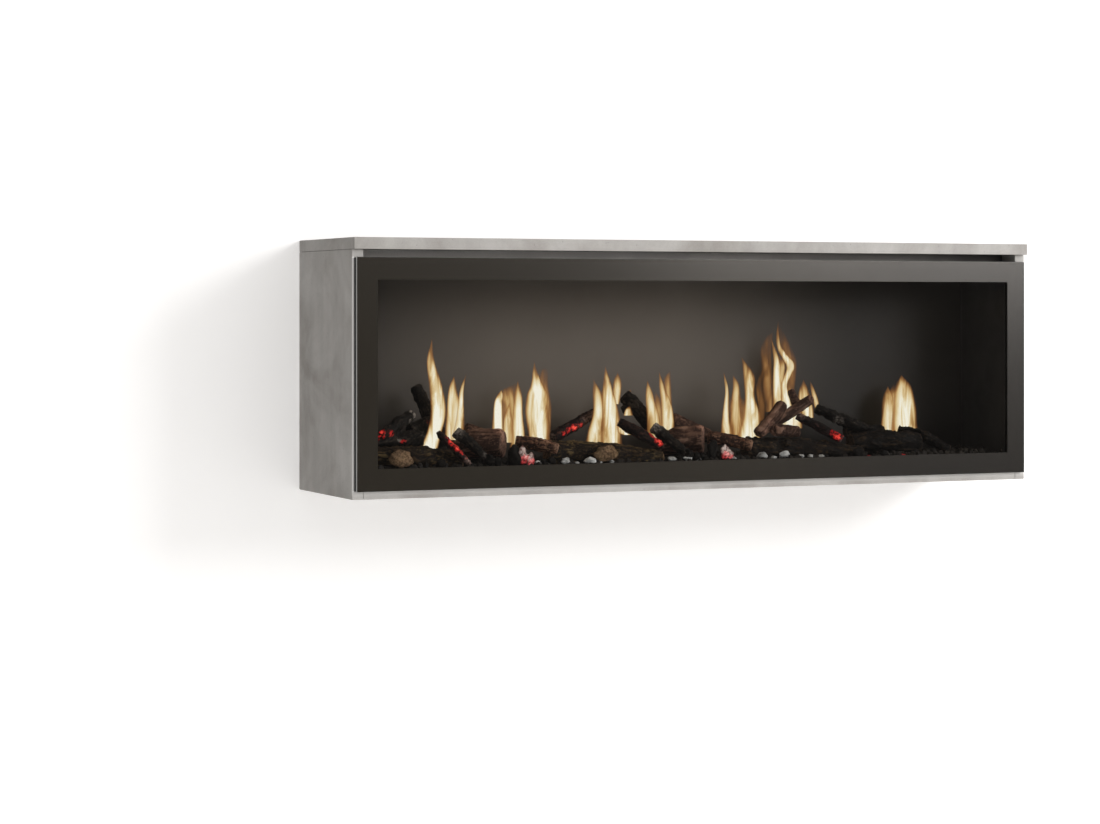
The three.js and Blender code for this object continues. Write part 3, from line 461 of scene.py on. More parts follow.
# %% Dress the solids by slot
BY_SLOT = {
    "concrete_board": concrete, "hardboard": hardboard, "zinc_steel": zinc, "black_sheet": black_coat,
    "grey_sheet": grey_coat, "front_glass": bordered_glass, "flame_screen": screen_finish,
    "bright_aluminium": aluminium, "circuit_board": circuit, "black_plastic": plastic,
}
SPECIAL = {"mains_inlet": inlet_plastic, "power_rocker": rocker_plastic}
for entry in frame["record"]["subparts"]:
    if entry["material_slot"] in BY_SLOT:
        materials = frame["nodes"][entry["node"]].data.materials
        materials.clear()
        materials.append(SPECIAL.get(entry["node"], BY_SLOT[entry["material_slot"]]))
print("dressed:", sum(len(n.data.materials) > 0 for n in frame["nodes"].values()), "solids")


# %% [markdown]
# ## Pieces that take over from a solid
#
# Some solids are only the plain form of what we want to show. `copied` takes a solid's mesh as the
# start of a new piece: the imported mesh is loose triangles, so its doubles are merged first.
# `baked` turns an object with modifiers into a plain mesh, and `settle` attaches a piece to the body it
# moves with and hides the solids that it stands for.

# %% Copy, bake and settle
def thing(name, data, material=None):
    """A new object in the scene; a mesh may get its material here."""
    made = bpy.data.objects.new(name, data)
    bpy.context.scene.collection.objects.link(made)
    if material:
        data.materials.clear()
        data.materials.append(material)
    return made


def copied(node, name, material=None):
    mesh = frame["nodes"][node].data.copy()
    mesh.name = name
    shape = bmesh.new()
    shape.from_mesh(mesh)
    bmesh.ops.remove_doubles(shape, verts=shape.verts, dist=1e-5)
    bmesh.ops.recalc_face_normals(shape, faces=shape.faces)
    shape.to_mesh(mesh)
    shape.free()
    if "custom_normal" in mesh.attributes:
        mesh.attributes.remove(mesh.attributes["custom_normal"])
    return thing(name, mesh, material)


def baked(piece):
    """The piece with its modifiers made part of its mesh."""
    graph = bpy.context.evaluated_depsgraph_get()
    mesh = bpy.data.meshes.new_from_object(piece.evaluated_get(graph))
    piece.modifiers.clear()
    piece.data = mesh
    return piece


def settle(piece, slot, body="root", *nodes):
    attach(piece, body)
    if nodes:
        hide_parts(*nodes)
    print(f"{piece.name}: {len(piece.data.polygons)} faces, rides on {body}")


# %% [markdown]
# ## Edges that catch the light
#
# A board's edge is never perfectly sharp: the film turns over it with a radius of about a
# millimetre, and that thin line of light is how we know it is an edge. A Bevel modifier rounds
# every edge whose faces meet at an angle. The pane's ground edges are rounded the same way.

# %% Boards and pane with rounded edges
def softened(node, name, width, material):
    piece = copied(node, name, material)
    bevel = piece.modifiers.new("rounded", "BEVEL")
    bevel.width, bevel.segments, bevel.limit_method = width, 2, "ANGLE"
    bevel.harden_normals = True
    return baked(piece)


for board in ("top_panel", "left_side_panel", "right_side_panel", "bottom_panel"):
    settle(softened(board, board + "_faced", 0.0009, concrete), "concrete_board", "root", board)
pane = softened("glass_pane", "glass_pane_ground", 0.0007, bordered_glass)
settle(pane, "front_glass", "front", "glass_pane")


# %% [markdown]
# ## Starting, ending and running a tree
#
# Geometry Nodes repeat and carve for us. A tree is a small program: `new_tree` gives it named inputs,
# `end_tree` turns its instances into a real mesh and sets the material, and `run_tree` puts it on a
# piece as a modifier, fills its inputs by their identifiers and keeps the mesh that comes out.

# %% Helpers for Geometry Nodes
def new_tree(name, sockets):
    """A Geometry Nodes tree with named inputs; returns what fills it, and its inputs' sockets."""
    tree = bpy.data.node_groups.new(name, "GeometryNodeTree")
    tree.interface.new_socket("Geometry", in_out="INPUT", socket_type="NodeSocketGeometry")
    for title, kind, value in (*sockets, ("Material", "Material", None)):
        socket = tree.interface.new_socket(title, in_out="INPUT", socket_type="NodeSocket" + kind)
        if value is not None:
            socket.default_value = value
    tree.interface.new_socket("Geometry", in_out="OUTPUT", socket_type="NodeSocketGeometry")
    return Paint(tree), tree.nodes.new("NodeGroupInput").outputs


def end_tree(nodes, given, geometry):
    """Makes the instances real, sets their material and returns the finished tree."""
    whole = nodes("GeometryNodeRealizeInstances", {"Geometry": geometry})
    coated = nodes("GeometryNodeSetMaterial", {"Geometry": whole, "Material": given["Material"]})
    nodes("NodeGroupOutput", {0: coated})
    print(f"tree: {nodes.tree.name}, {len(nodes.tree.nodes)} nodes")
    return nodes.tree


def run_tree(piece, tree, **values):
    """Adds the tree as a modifier, sets its inputs by their identifiers and bakes the result."""
    modifier = piece.modifiers.new(tree.name, "NODES")
    modifier.node_group = tree
    for item in tree.interface.items_tree:
        if item.in_out == "INPUT" and item.name.lower() in values:
            modifier[item.identifier] = values[item.name.lower()]
    return baked(piece)


# %% [markdown]
# ## A tree of nodes that carves bark
#
# The logs are cast from a resin that copies real wood: ridges run along each log, and its sawn
# ends are flatter. The rule is the same for all of them, so one Geometry Nodes tree carves them.
# It splits a point's place into a part along the log and a part across it, squeezes the part along,
# and feeds both to a noise: the pattern then runs with the grain. It also leaves two attributes
# behind, `bark` for the depth of a groove and `sawn` for the cut ends, which the finishes read.

# %% The bark carver
def bark_carver():
    nodes, given = new_tree("carve_bark", [
        ("Heart", "Vector", None), ("Along", "Vector", (1, 0, 0)), ("Ridges", "Float", 170.0),
        ("Stretch", "Float", 5.0), ("Depth", "Float", 0.0015), ("Lumps", "Float", 0.002),
        ("Swell", "Float", 0.0), ("Seed", "Float", 0.0)])
    offset = nodes.vector("SUBTRACT", nodes("GeometryNodeInputPosition"), given["Heart"])
    reach = nodes.vector("DOT_PRODUCT", offset, given["Along"], out=1)
    lengthwise = nodes.scaled(given["Along"], reach)
    crosswise = nodes.vector("SUBTRACT", offset, lengthwise)
    squeezed = nodes.scaled(lengthwise, nodes.math("DIVIDE", 1.0, given["Stretch"]))
    seeds = [nodes("ShaderNodeCombineXYZ", {axis: given["Seed"]}) for axis in (0, 1)]
    grain = nodes.vector("ADD", nodes.vector("ADD", crosswise, squeezed), seeds[0])
    broad = nodes.cloud(grain, given["Ridges"], 5.0, 0.62, 0.4)
    ridge = nodes.spread(nodes.math("ABSOLUTE", nodes.minus(nodes.times(broad, 2.0), 1.0)), 0.0, 0.42)
    lumps = nodes.cloud(nodes.vector("ADD", offset, seeds[1]), 38.0, 3.0)
    normal = nodes("GeometryNodeInputNormal")
    facing = nodes.vector("DOT_PRODUCT", normal, given["Along"], out=1)
    sawn = nodes.spread(nodes.math("ABSOLUTE", facing), 0.72, 0.93)
    calm = nodes.spread(sawn, 0.0, 1.0, 1.0, 0.25)
    rise = nodes.times(nodes.minus(ridge, 0.75), nodes.times(given["Depth"], calm))
    knobs = nodes.times(nodes.minus(lumps, 0.52), nodes.times(given["Lumps"], 2.0))
    rise = nodes.plus(rise, nodes.times(knobs, calm), given["Swell"])
    carved = given["Geometry"]
    for name, value in (("bark", ridge), ("sawn", sawn)):
        stored = {"Geometry": carved, "Name": name, "Value": value}
        carved = nodes("GeometryNodeStoreNamedAttribute", stored, domain="POINT")
    carved = nodes("GeometryNodeSetPosition", {"Geometry": carved, "Offset": nodes.scaled(normal, rise)})
    return end_tree(nodes, given, carved)


carve_bark = bark_carver()


# %% [markdown]
# ## Screws in the back
#
# The hardboard is held by pan-head screws with a cross recess. They are all alike, so a tree makes
# one head, cuts the cross out of it and puts a copy on each point of a mesh. Each copy is turned by
# its own amount, because nobody stops a screwdriver at the same angle twice.

# %% Screws on the points of a mesh
SCREW_BASE = -19.1  # millimetres: a tenth inside the panel, so that no gap shows under a head
SCREW_PLACES = [at(x, SCREW_BASE, z) for z in (34, 300) for x in (-540, -324, -108, 108, 324, 540)]
BACKWARDS = (-math.pi / 2, 0, 0)


def screw_setter():
    nodes, given = new_tree("set_screws", [
        ("Radius", "Float", 0.004), ("Height", "Float", 0.0018), ("Facing", "Vector", (0, 0, 0)),
        ("Seed", "Int", 1)])
    head = nodes("GeometryNodeMeshCone", {
        "Vertices": 20, "Side Segments": 2, "Radius Top": nodes.times(given["Radius"], 0.7),
        "Radius Bottom": given["Radius"], "Depth": given["Height"]})
    long, narrow = (nodes.times(given["Radius"], share) for share in (1.05, 0.24))
    sizes = [nodes("ShaderNodeCombineXYZ", {0: x, 1: y, 2: given["Height"]})
             for x, y in ((long, narrow), (narrow, long))]
    bars = [nodes("GeometryNodeMeshCube", {"Size": size}) for size in sizes]
    cross = nodes("GeometryNodeMeshBoolean", {1: bars[0]}, operation="UNION")
    nodes.tree.links.new(bars[1], cross.node.inputs[1])
    cross = nodes("GeometryNodeTransform", {
        "Geometry": cross, "Translation": nodes("ShaderNodeCombineXYZ", {2: given["Height"]})})
    head = nodes("GeometryNodeMeshBoolean", {0: head, 1: cross}, operation="DIFFERENCE")
    placed = nodes("GeometryNodeInstanceOnPoints", {"Points": given["Geometry"], "Instance": head,
                                                    "Rotation": given["Facing"]})
    turn = nodes("FunctionNodeRandomValue", {0: (0, 0, 0), 1: (0, 0, 1.57), "Seed": given["Seed"]},
                 data_type="FLOAT_VECTOR")
    turned = nodes("GeometryNodeRotateInstances", {"Instances": placed, "Rotation": turn})
    return end_tree(nodes, given, turned)


screw_points = bpy.data.meshes.new("back_screws")
screw_points.from_pydata(SCREW_PLACES, [], [])
screws = thing("back_screws", screw_points)
run_tree(screws, screw_setter(), radius=0.004, height=0.0018, facing=BACKWARDS, seed=4, material=zinc)
settle(screws, "zinc_steel")


# %% [markdown]
# ## Log finishes
#
# Six looks cover the set: mossy bark, a darker bark, smooth reddish-brown wood, half-burnt chunks, charcoal
# with grey ash on its ridges, and splits that still glow. One function mixes them: grooves are dark, ridges
# lighter, the sawn ends speckled, and ash is a noise on the ridges. The attributes `glow` and `pale`,
# written for each log, say where embers shine and where a spot is pale: ash on a burnt edge, and painted
# highlights where an edge would catch the light. All of the finishes are darker towards the right, which is
# painted shade.

# %% One function for all log finishes
CHARRED = (0.5, 0.44, 0.385)  # what charring leaves of a log's red, green and blue
SHADE_FROM, DEEPEST_SHADE_FROM = 0.12, 0.4  # painted shade: the logs towards the right are darker still
EMBER = ((0.3, 0.006, 0.006), (0.9, 0.08, 0.05))  # a dull glow and a bright one


def attribute(nodes, name):
    return nodes("ShaderNodeAttribute", attribute_name=name, out=2)


def log_finish(name, groove, face, light, sawn, pale, ash=0.0, ember=EMBER, power=1.2):
    def colour(nodes, place):
        bark = attribute(nodes, "bark")
        body = nodes.blend(nodes.spread(nodes.cloud(place, 46.0, 4.0, 0.6), 0.44, 0.66), face, light)
        body = nodes.blend(nodes.spread(bark, 0.0, 0.6), groove, body)
        fleck = nodes.spread(nodes.cloud(place, 330.0, 3.0, 0.7), 0.56, 0.66)
        body = nodes.blend(nodes.times(fleck, 0.5), body, light)
        ends = nodes.shaded(sawn, nodes.cloud(place, 260.0, 4.0, 0.75), [(0.42, 0.2), (0.6, 1.0)])
        body = nodes.blend(attribute(nodes, "sawn"), body, ends)
        dust = nodes.spread(nodes.times(nodes.cloud(place, 75.0, 5.0, 0.7), bark), 0.5 - 0.1 * ash, 0.66)
        body = nodes.blend(nodes.times(dust, ash), body, (0.3, 0.29, 0.275))
        # pale spots: ash on burnt edges, and painted highlights where an edge would catch the light
        ash_and_highlight = nodes.spread(nodes.cloud(place, 240.0, 4.0, 0.7), 0.4, 0.58, 0.12, 1.0)
        clean = nodes.blend(nodes.times(attribute(nodes, "pale"), ash_and_highlight), body, pale)
        charred = nodes.blend(1.0, clean, CHARRED, "MULTIPLY")
        # painted shade: every log finish is darker towards the right
        right = nodes.spread(nodes.part(place, 0), SHADE_FROM, DEEPEST_SHADE_FROM, 1.0, 0.4)
        return nodes.scaled(charred, right)

    def glowing(nodes, place):
        cells = nodes.spread(nodes.cloud(place, 170.0, 4.0, 0.75), 0.42, 0.58)
        heat = nodes.times(attribute(nodes, "glow"), nodes.plus(nodes.times(cells, 0.8), 0.2))
        return nodes.ramp(heat, [(0.16, 0.0), (0.45, ember[0]), (0.95, ember[1])])

    made = finish(name, colour, between(0.75, 0.92, 40.0), fine_skin(900.0), 0.35, 0.0005,
                  Specular_IOR_Level=0.1, Emission_Color=glowing, Emission_Strength=power)
    made.cycles.emission_sampling = "NONE"
    return made


LOG_LOOKS = {  # groove, face, light patches, sawn end, pale spots: ash, and painted highlights
    "bark": log_finish("mossy_bark", (0.008, 0.005, 0.003), (0.052, 0.034, 0.018), (0.15, 0.115, 0.055),
                       (0.4, 0.28, 0.18), (0.3, 0.26, 0.18)),
    "dark_bark": log_finish("dark_bark", (0.004, 0.0025, 0.0015), (0.017, 0.01, 0.005),
                            (0.065, 0.044, 0.022), (0.14, 0.1, 0.07), (0.3, 0.26, 0.18)),
    "brown": log_finish("brown_wood", (0.035, 0.018, 0.013), (0.15, 0.09, 0.068), (0.3, 0.2, 0.16),
                        (0.24, 0.15, 0.12), (0.75, 0.45, 0.36)),
    "chunk": log_finish("flecked_chunk", (0.025, 0.012, 0.008), (0.13, 0.065, 0.042), (0.42, 0.26, 0.18),
                        (0.42, 0.27, 0.19), (0.55, 0.36, 0.27)),
    "charcoal": log_finish("charcoal", (0.005, 0.004, 0.003), (0.022, 0.018, 0.014), (0.05, 0.043, 0.036),
                           (0.05, 0.045, 0.04), (0.5, 0.49, 0.48), ash=0.7),
    "ember": log_finish("glowing_split", (0.005, 0.003, 0.003), (0.03, 0.017, 0.013), (0.09, 0.042, 0.034),
                        (0.2, 0.16, 0.15), (0.55, 0.42, 0.4), ash=0.3),
}


# %% [markdown]
# ## The log set
#
# `LOGS` says for each log its look, its two ends, how much the carver swells it, and where it glows or
# is pale: places, each with a radius and a strength. Places, swells and radii are in millimetres.
# `CARVING` says how each look is carved, and which of the record's slots it belongs to.

# %% The log set
LOGS = {
    "front_log_left": dict(look="bark", near=(-556, -212, 60), far=(-408, -217, 52)),
    "front_log_middle": dict(look="bark", near=(-262, -206, 60), far=(-64, -219, 49)),
    "front_log_right": dict(look="dark_bark", near=(88, -208, 60), far=(304, -214, 47)),
    "brown_log_left": dict(look="brown", near=(-402, -168, 70), far=(-338, -216, 77),
        pale=[(-343, -219, 103, 11, 0.7), (-334, -226, 88, 11, 0.9), (-331, -228, 70, 9, 0.8)]),
    "brown_log_middle": dict(look="brown", near=(-54, -168, 68), far=(12, -214, 76),
        glow=[(27, -207, 97, 7, 0.7)], pale=[(8, -220, 100, 9, 0.7), (16, -224, 84, 9, 0.9),
        (20, -212, 94, 6, 0.8)]),
    "brown_log_right": dict(look="dark_bark", near=(298, -186, 62), far=(424, -198, 60)),
    "bark_log_left": dict(look="chunk", near=(-312, -200, 80), far=(-250, -228, 67),
        pale=[(-252, -232, 72, 8, 0.5)]),
    "bark_log_middle": dict(look="chunk", near=(26, -200, 80), far=(92, -230, 65),
        pale=[(90, -234, 70, 8, 0.5)]),
    "bark_log_right": dict(look="dark_bark", near=(392, -186, 84), far=(474, -216, 50)),
    "ember_split_left": dict(look="ember", near=(-454, -230, 98), far=(-405, -240, 48), swell=1.6,
        glow=[(-440, -239, 92, 5, 0.6), (-434, -241, 84, 6, 0.9), (-426, -243, 76, 6, 1.0),
        (-418, -244, 68, 5, 0.8), (-413, -244, 60, 4, 0.5)], pale=[(-410, -246, 54, 6, 0.7)]),
    "ember_split_middle": dict(look="ember", near=(-136, -206, 108), far=(-72, -236, 66),
        glow=[(-97, -224, 97, 5, 0.7), (-88, -231, 88, 6, 0.9), (-79, -236, 77, 7, 1.0)],
        pale=[(-99, -222, 101, 5, 0.5)]),
    "ember_split_right": dict(look="ember", near=(192, -196, 112), far=(258, -232, 72),
        glow=[(250, -234, 79, 8, 0.8), (243, -230, 84, 6, 0.6)], pale=[(256, -236, 72, 5, 0.4),
        (200, -200, 113, 8, 0.4)]),
    "charcoal_branch_left": dict(look="charcoal", near=(-418, -212, 99), far=(-372, -236, 54),
        pale=[(-418, -216, 100, 11, 0.55), (-376, -238, 60, 6, 0.4)]),
    "charcoal_branch_middle": dict(look="charcoal", near=(-76, -206, 100), far=(-26, -238, 52),
        pale=[(-75, -210, 100, 11, 0.55), (-30, -240, 58, 6, 0.4)]),
    "charcoal_branch_right": dict(look="charcoal", near=(250, -158, 122), far=(342, -186, 80),
        pale=[(280, -182, 99, 9, 1.0)]),
    "tall_branch_left": dict(look="charcoal", near=(-458, -142, 166), far=(-424, -168, 74), swell=1.5,
        glow=[(-446, -178, 112, 10, 0.2)]),
    "leaning_log_left": dict(look="charcoal", near=(-540, -214, 94), far=(-480, -190, 126),
        glow=[(-547, -222, 96, 11, 1.0), (-533, -218, 104, 7, 0.3), (-524, -212, 97, 6, 0.5),
        (-502, -214, 84, 6, 0.8)], pale=[(-484, -196, 132, 4, 0.9), (-480, -196, 123, 4, 0.9),
        (-488, -200, 115, 3, 0.8), (-508, -213, 88, 4, 1.0)]),
    "leaning_log_middle": dict(look="charcoal", near=(-100, -150, 148), far=(-42, -180, 78), swell=0.8,
        pale=[(-84, -156, 137, 5, 0.8)]),
    "red_branch_middle": dict(look="ember", near=(-240, -184, 84), far=(-152, -154, 122), swell=2.2,
        glow=[(-222, -190, 91, 5, 0.7), (-211, -186, 95, 6, 0.9), (-200, -180, 99, 6, 1.0),
        (-188, -177, 103, 5, 0.8)], pale=[(-176, -172, 110, 8, 0.3), (-162, -168, 119, 8, 0.3)]),
    "crossing_log_low": dict(look="brown", near=(112, -214, 84), far=(164, -200, 131), swell=2.4,
        glow=[(166, -214, 88, 6, 0.6)], pale=[(122, -230, 90, 7, 0.9), (130, -222, 104, 6, 0.3)]),
    "crossing_log_high": dict(look="brown", near=(142, -176, 92), far=(238, -164, 138), swell=1.8,
        pale=[(236, -172, 138, 6, 0.5)]),
}
CARVING = {  # slot, ridges per metre, stretch, depth, lumps
    "bark": ("bark_resin", 150.0, 4.0, 0.0036, 0.0034),
    "dark_bark": ("bark_resin", 150.0, 4.0, 0.0036, 0.0034),
    "brown": ("brown_resin", 90.0, 7.0, 0.0012, 0.0026),
    "chunk": ("brown_resin", 210.0, 4.0, 0.0022, 0.003),
    "charcoal": ("charcoal_resin", 170.0, 3.0, 0.003, 0.0044),
    "ember": ("ember_resin", 190.0, 4.0, 0.0022, 0.003),
}
print("logs:", len(LOGS))


# %% [markdown]
# ## Carving the logs
#
# Each log is remeshed into small even squares, so that the carver has points to move, and smoothed,
# so that the facets of the plain solid are gone. Then the tree carves it. Its glowing and pale spots
# are written as attributes: a number on every point, which the finish can read.

# %% Remesh, mark and carve
VOXEL, SMOOTHING = 0.0018, 22  # the logs' squares, and how often they are smoothed
FOREMOST = -0.2492  # no log reaches further to the front, where the glass slides past


def remeshed(piece, voxel, smoothing):
    grid = piece.modifiers.new("even_squares", "REMESH")
    grid.mode, grid.voxel_size, grid.use_smooth_shade = "VOXEL", voxel, True
    smooth = piece.modifiers.new("smooth", "SMOOTH")
    smooth.factor, smooth.iterations = 0.5, smoothing
    return baked(piece)


def mark(piece, name, spots):
    """Writes an attribute from spots: a place and a radius in millimetres, and a strength."""
    points = np.empty(len(piece.data.vertices) * 3, np.float32)
    piece.data.vertices.foreach_get("co", points)
    points = points.reshape(-1, 3)
    level = np.zeros(len(points), np.float32)
    for x, y, z, radius, strength in spots:
        away = np.linalg.norm(points - np.array(at(x, y, z)), axis=1) / (radius / 1000)
        level = np.maximum(level, strength * np.clip(1.5 - away, 0, 1))
    piece.data.attributes.new(name, "FLOAT", "POINT").data.foreach_set("value", level)


def carved_log(node, seed, look, near, far, swell=0.0, glow=(), pale=()):
    slot, ridges, stretch, depth, lumps = CARVING[look]
    near, far = at(*near), at(*far)
    piece = remeshed(copied(node, node + "_carved"), VOXEL, SMOOTHING)
    run_tree(piece, carve_bark, heart=near, along=(far - near).normalized(), ridges=ridges, stretch=stretch,
             depth=depth, lumps=lumps, swell=swell / 1000, seed=seed * 0.37, material=LOG_LOOKS[look])
    for vertex in piece.data.vertices:
        vertex.co.y = max(vertex.co.y, FOREMOST)
    mark(piece, "glow", glow)
    mark(piece, "pale", pale)
    settle(piece, slot, "root", node)


for seed, (node, log) in enumerate(LOGS.items()):
    carved_log(node, seed, **log)


# %% [markdown]
# ## The bed of coals
#
# Under the logs lies a moulded crust with loose coals, pebbles and a few glowing pieces on it. The
# crust is the bed's solid, remeshed and roughened. The coals are scattered with Geometry Nodes:
# points spread over the crust with a fixed seed, and on each a small stone of a few dozen faces,
# turned and sized at random.

# %% Crust and scattered coals
def rubble(name, dark, light, fine=260.0):
    return finish(name, worn(dark, light, 60.0, fine), between(0.7, 0.95, 60.0), fine_skin(700.0),
                  0.5, 0.0006, Specular_IOR_Level=0.15)


crust_finish = log_finish("ash_crust", (0.004, 0.0035, 0.003), (0.016, 0.013, 0.01), (0.05, 0.042, 0.034),
                          (0.03, 0.025, 0.02), (0.4, 0.38, 0.36), ash=0.15)
coal_finish = rubble("loose_coal", (0.0035, 0.003, 0.0025), (0.023, 0.019, 0.015))
pebble_finish = rubble("white_pebble", (0.12, 0.12, 0.115), (0.54, 0.54, 0.52), 900.0)


def coal_scatter():
    nodes, given = new_tree("scatter_coals", [
        ("Density", "Float", 2500.0), ("Size", "Float", 0.005), ("Seed", "Int", 3)])

    def random_between(low, high):
        limits = {0: low, 1: high, "Seed": given["Seed"]}
        return nodes("FunctionNodeRandomValue", limits, data_type="FLOAT_VECTOR")

    normal = nodes("GeometryNodeInputNormal")
    spread = nodes("GeometryNodeDistributePointsOnFaces", {
        "Mesh": given["Geometry"], "Selection": nodes.math("GREATER_THAN", nodes.part(normal, 2), 0.7),
        "Density": given["Density"], "Seed": given["Seed"]})
    stone = nodes("GeometryNodeMeshIcoSphere", {"Radius": given["Size"], "Subdivisions": 2})
    bumps = nodes.minus(nodes.cloud(nodes("GeometryNodeInputPosition"), 160.0, 2.0), 0.5)
    dents = nodes.scaled(normal, nodes.times(bumps, nodes.times(given["Size"], 2.2)))
    stone = nodes("GeometryNodeSetPosition", {"Geometry": stone, "Offset": dents})
    strewn = nodes("GeometryNodeInstanceOnPoints", {
        "Points": spread, "Instance": stone, "Rotation": random_between((0, 0, 0), (6.28, 6.28, 6.28)),
        "Scale": random_between((0.45, 0.45, 0.4), (1.5, 1.3, 1.1))})
    return end_tree(nodes, given, strewn)


bed = remeshed(copied("ember_bed", "bed_crust"), 0.0028, 3)
run_tree(bed, carve_bark, heart=at(0, -180, 40), along=(1, 0, 0), ridges=110.0, stretch=1.0, depth=0.003,
         lumps=0.0025, seed=5.0, material=crust_finish)
mark(bed, "glow", [(x, -200 + 30 * math.sin(x), 46, 12, 0.4) for x in range(-520, 440, 64)])
settle(bed, "ash_bed", "root", "ember_bed")
coals = thing("loose_coals", frame["nodes"]["ember_bed"].data.copy())
run_tree(coals, coal_scatter(), density=6500.0, size=0.0052, seed=3, material=coal_finish)
settle(coals, "ash_bed")


# %% [markdown]
# ## Pebbles and glowing chunks
#
# Pale pebbles, black lumps and two split coals with glowing cores lie along the front, and two logs
# show a sawn knot. They are placed one by one. Each is a sphere of triangles whose points are pushed
# about by noise, flattened and turned.

# %% Stones placed one by one
def from_shape(name, shape, material):
    """An object from a finished bmesh, shaded smooth."""
    mesh = bpy.data.meshes.new(name)
    shape.to_mesh(mesh)
    shape.free()
    mesh.shade_smooth()
    return thing(name, mesh, material)


def stones(name, places, material, rough=0.35, detail=3):
    """One mesh with a stone at each (x, y, z, half width, half depth, half height, turn)."""
    shape = bmesh.new()
    for index, (x, y, z, wide, deep, high, turn) in enumerate(places):
        turned = Matrix.Rotation(turn, 3, "Z") @ Matrix.Diagonal((wide / 1000, deep / 1000, high / 1000))
        for vertex in bmesh.ops.create_icosphere(shape, subdivisions=detail, radius=1.0)["verts"]:
            shift = noise.noise(vertex.co * 1.3 + Vector((index * 5.1, 0, 0)))
            vertex.co = turned @ (vertex.co * (1 + rough * shift)) + at(x, y, z)
    return from_shape(name, shape, material)


PEBBLES = {-290: 5.5, -244: 8, -225: 3.5, -202: 8, -166: 4.5, -59: 6, -31: 6, 52: 4.5, 105: 9, 145: 9.5,
           175: 5, 193: 4.5, 214: 4, -12: 4, -185: 3.5, 125: 4}  # place along the front: half width
pebble_places = [(x, -241.5, 44 + 0.75 * half, half, 5.2, 0.62 * half, 0.25 * math.sin(x))
                 for x, half in PEBBLES.items()]
settle(stones("white_pebbles", pebble_places, pebble_finish, 0.6), "ash_bed")
LUMPS = [(-329, -238, 60, 11, 9, 17, 0.3), (-321, -232, 54, 9, 8, 9, 1.3), (-268, -241, 51, 11, 6, 7, 0.8),
         (-284, -241, 49, 9, 6, 6, 1.9), (16, -238, 60, 11, 8, 16, 0.8),
         (-372, -240, 54, 9, 7, 9, 2.0), (-360, -241, 52, 7, 6, 7, 0.4), (-28, -240, 56, 9, 7, 9, 1.2),
         (-16, -241, 53, 8, 6, 7, 2.2), (-452, -240, 50, 9, 7, 7, 0.5), (282, -240, 50, 12, 7, 7, 0.5),
         (330, -240, 49, 10, 7, 6, 1.5), (240, -241, 49, 10, 6, 6, 2.5)]
settle(stones("black_lumps", LUMPS, LOG_LOOKS["charcoal"]), "charcoal_resin")
KNOTS = [(-517, -243, 60, 20, 5, 12.5, 0.06), (-175, -243, 60.5, 19, 5, 11.5, -0.05)]
knots = stones("sawn_knots", KNOTS, LOG_LOOKS["bark"], 0.4, 4)
mark(knots, "sawn", [(x + 4, y, z, 22, 0.8) for x, y, z, *_ in KNOTS])
mark(knots, "bark", [(x, y, z, 60, 1.0) for x, y, z, *_ in KNOTS])
settle(knots, "bark_resin")
chunk_glow = log_finish("glowing_chunk", (0.12, 0.04, 0.04), (0.4, 0.2, 0.2), (0.7, 0.55, 0.56),
                        (0.7, 0.6, 0.6), (0.95, 0.9, 0.92), power=0.7,
                        ember=((0.5, 0.03, 0.035), (0.9, 0.2, 0.2)))
CHUNKS = [(-316, -241, 60, 8, 6, 14, 0.2), (-305, -242, 54, 10, 5, 9, 0.6), (36, -241, 58, 7, 6, 12, 0.2),
          (45, -242, 53, 9, 5, 8, 0.6)]
chunks = stones("glowing_chunks", CHUNKS, chunk_glow, 0.7)
mark(chunks, "glow", [(x + 1, y - 4, z - 5, 7, 0.9) for x, y, z, *_ in CHUNKS])
mark(chunks, "pale", [(x - 3, y - 4, z + 7, 8, 1.0) for x, y, z, *_ in CHUNKS])
settle(chunks, "ember_resin")


# %% [markdown]
# ## Flames
#
# In the real object the flames are light on a screen, so they have no solid. We show each tongue as
# a thin lens-shaped sheet that shines. Its outline is a few rows, each with a height, a middle and a
# width; a smooth curve runs through them. The `core` attribute is 1 in the middle and 0 at the rim,
# and the finish turns it into a cream core, golden shoulders and a rim that fades into the dark.

# %% The flame finish
def flame_finish():
    made, nodes = blank_material("flame_light")
    place = nodes("ShaderNodeTexCoord", out=3)
    licks = nodes.streaks(place, (95.0, 1.0, 13.0), 3.0, 0.5, 0.8)
    heat = nodes.times(attribute(nodes, "core"), nodes.spread(licks, 0.35, 0.61, 0.6, 1.14))
    colour = nodes.ramp(heat, [
        (0.0, (0.15, 0.05, 0.02)), (0.2, (0.25, 0.105, 0.032)), (0.32, (0.35, 0.16, 0.05)),
        (0.46, (0.54, 0.34, 0.13)), (0.63, (0.72, 0.56, 0.3)), (0.82, (0.83, 0.74, 0.51)),
        (1.0, (0.93, 0.9, 0.76))])
    light = nodes("ShaderNodeBsdfPrincipled", {
        "Base Color": (0, 0, 0, 1), "Roughness": 1.0, "Specular IOR Level": 0.0, "Emission Color": colour,
        "Emission Strength": 1.0, "Alpha": nodes.spread(heat, 0.0, 0.66, 0.0, 0.93)})
    nodes("ShaderNodeOutputMaterial", {"Surface": light})
    made.cycles.emission_sampling = "NONE"
    return made
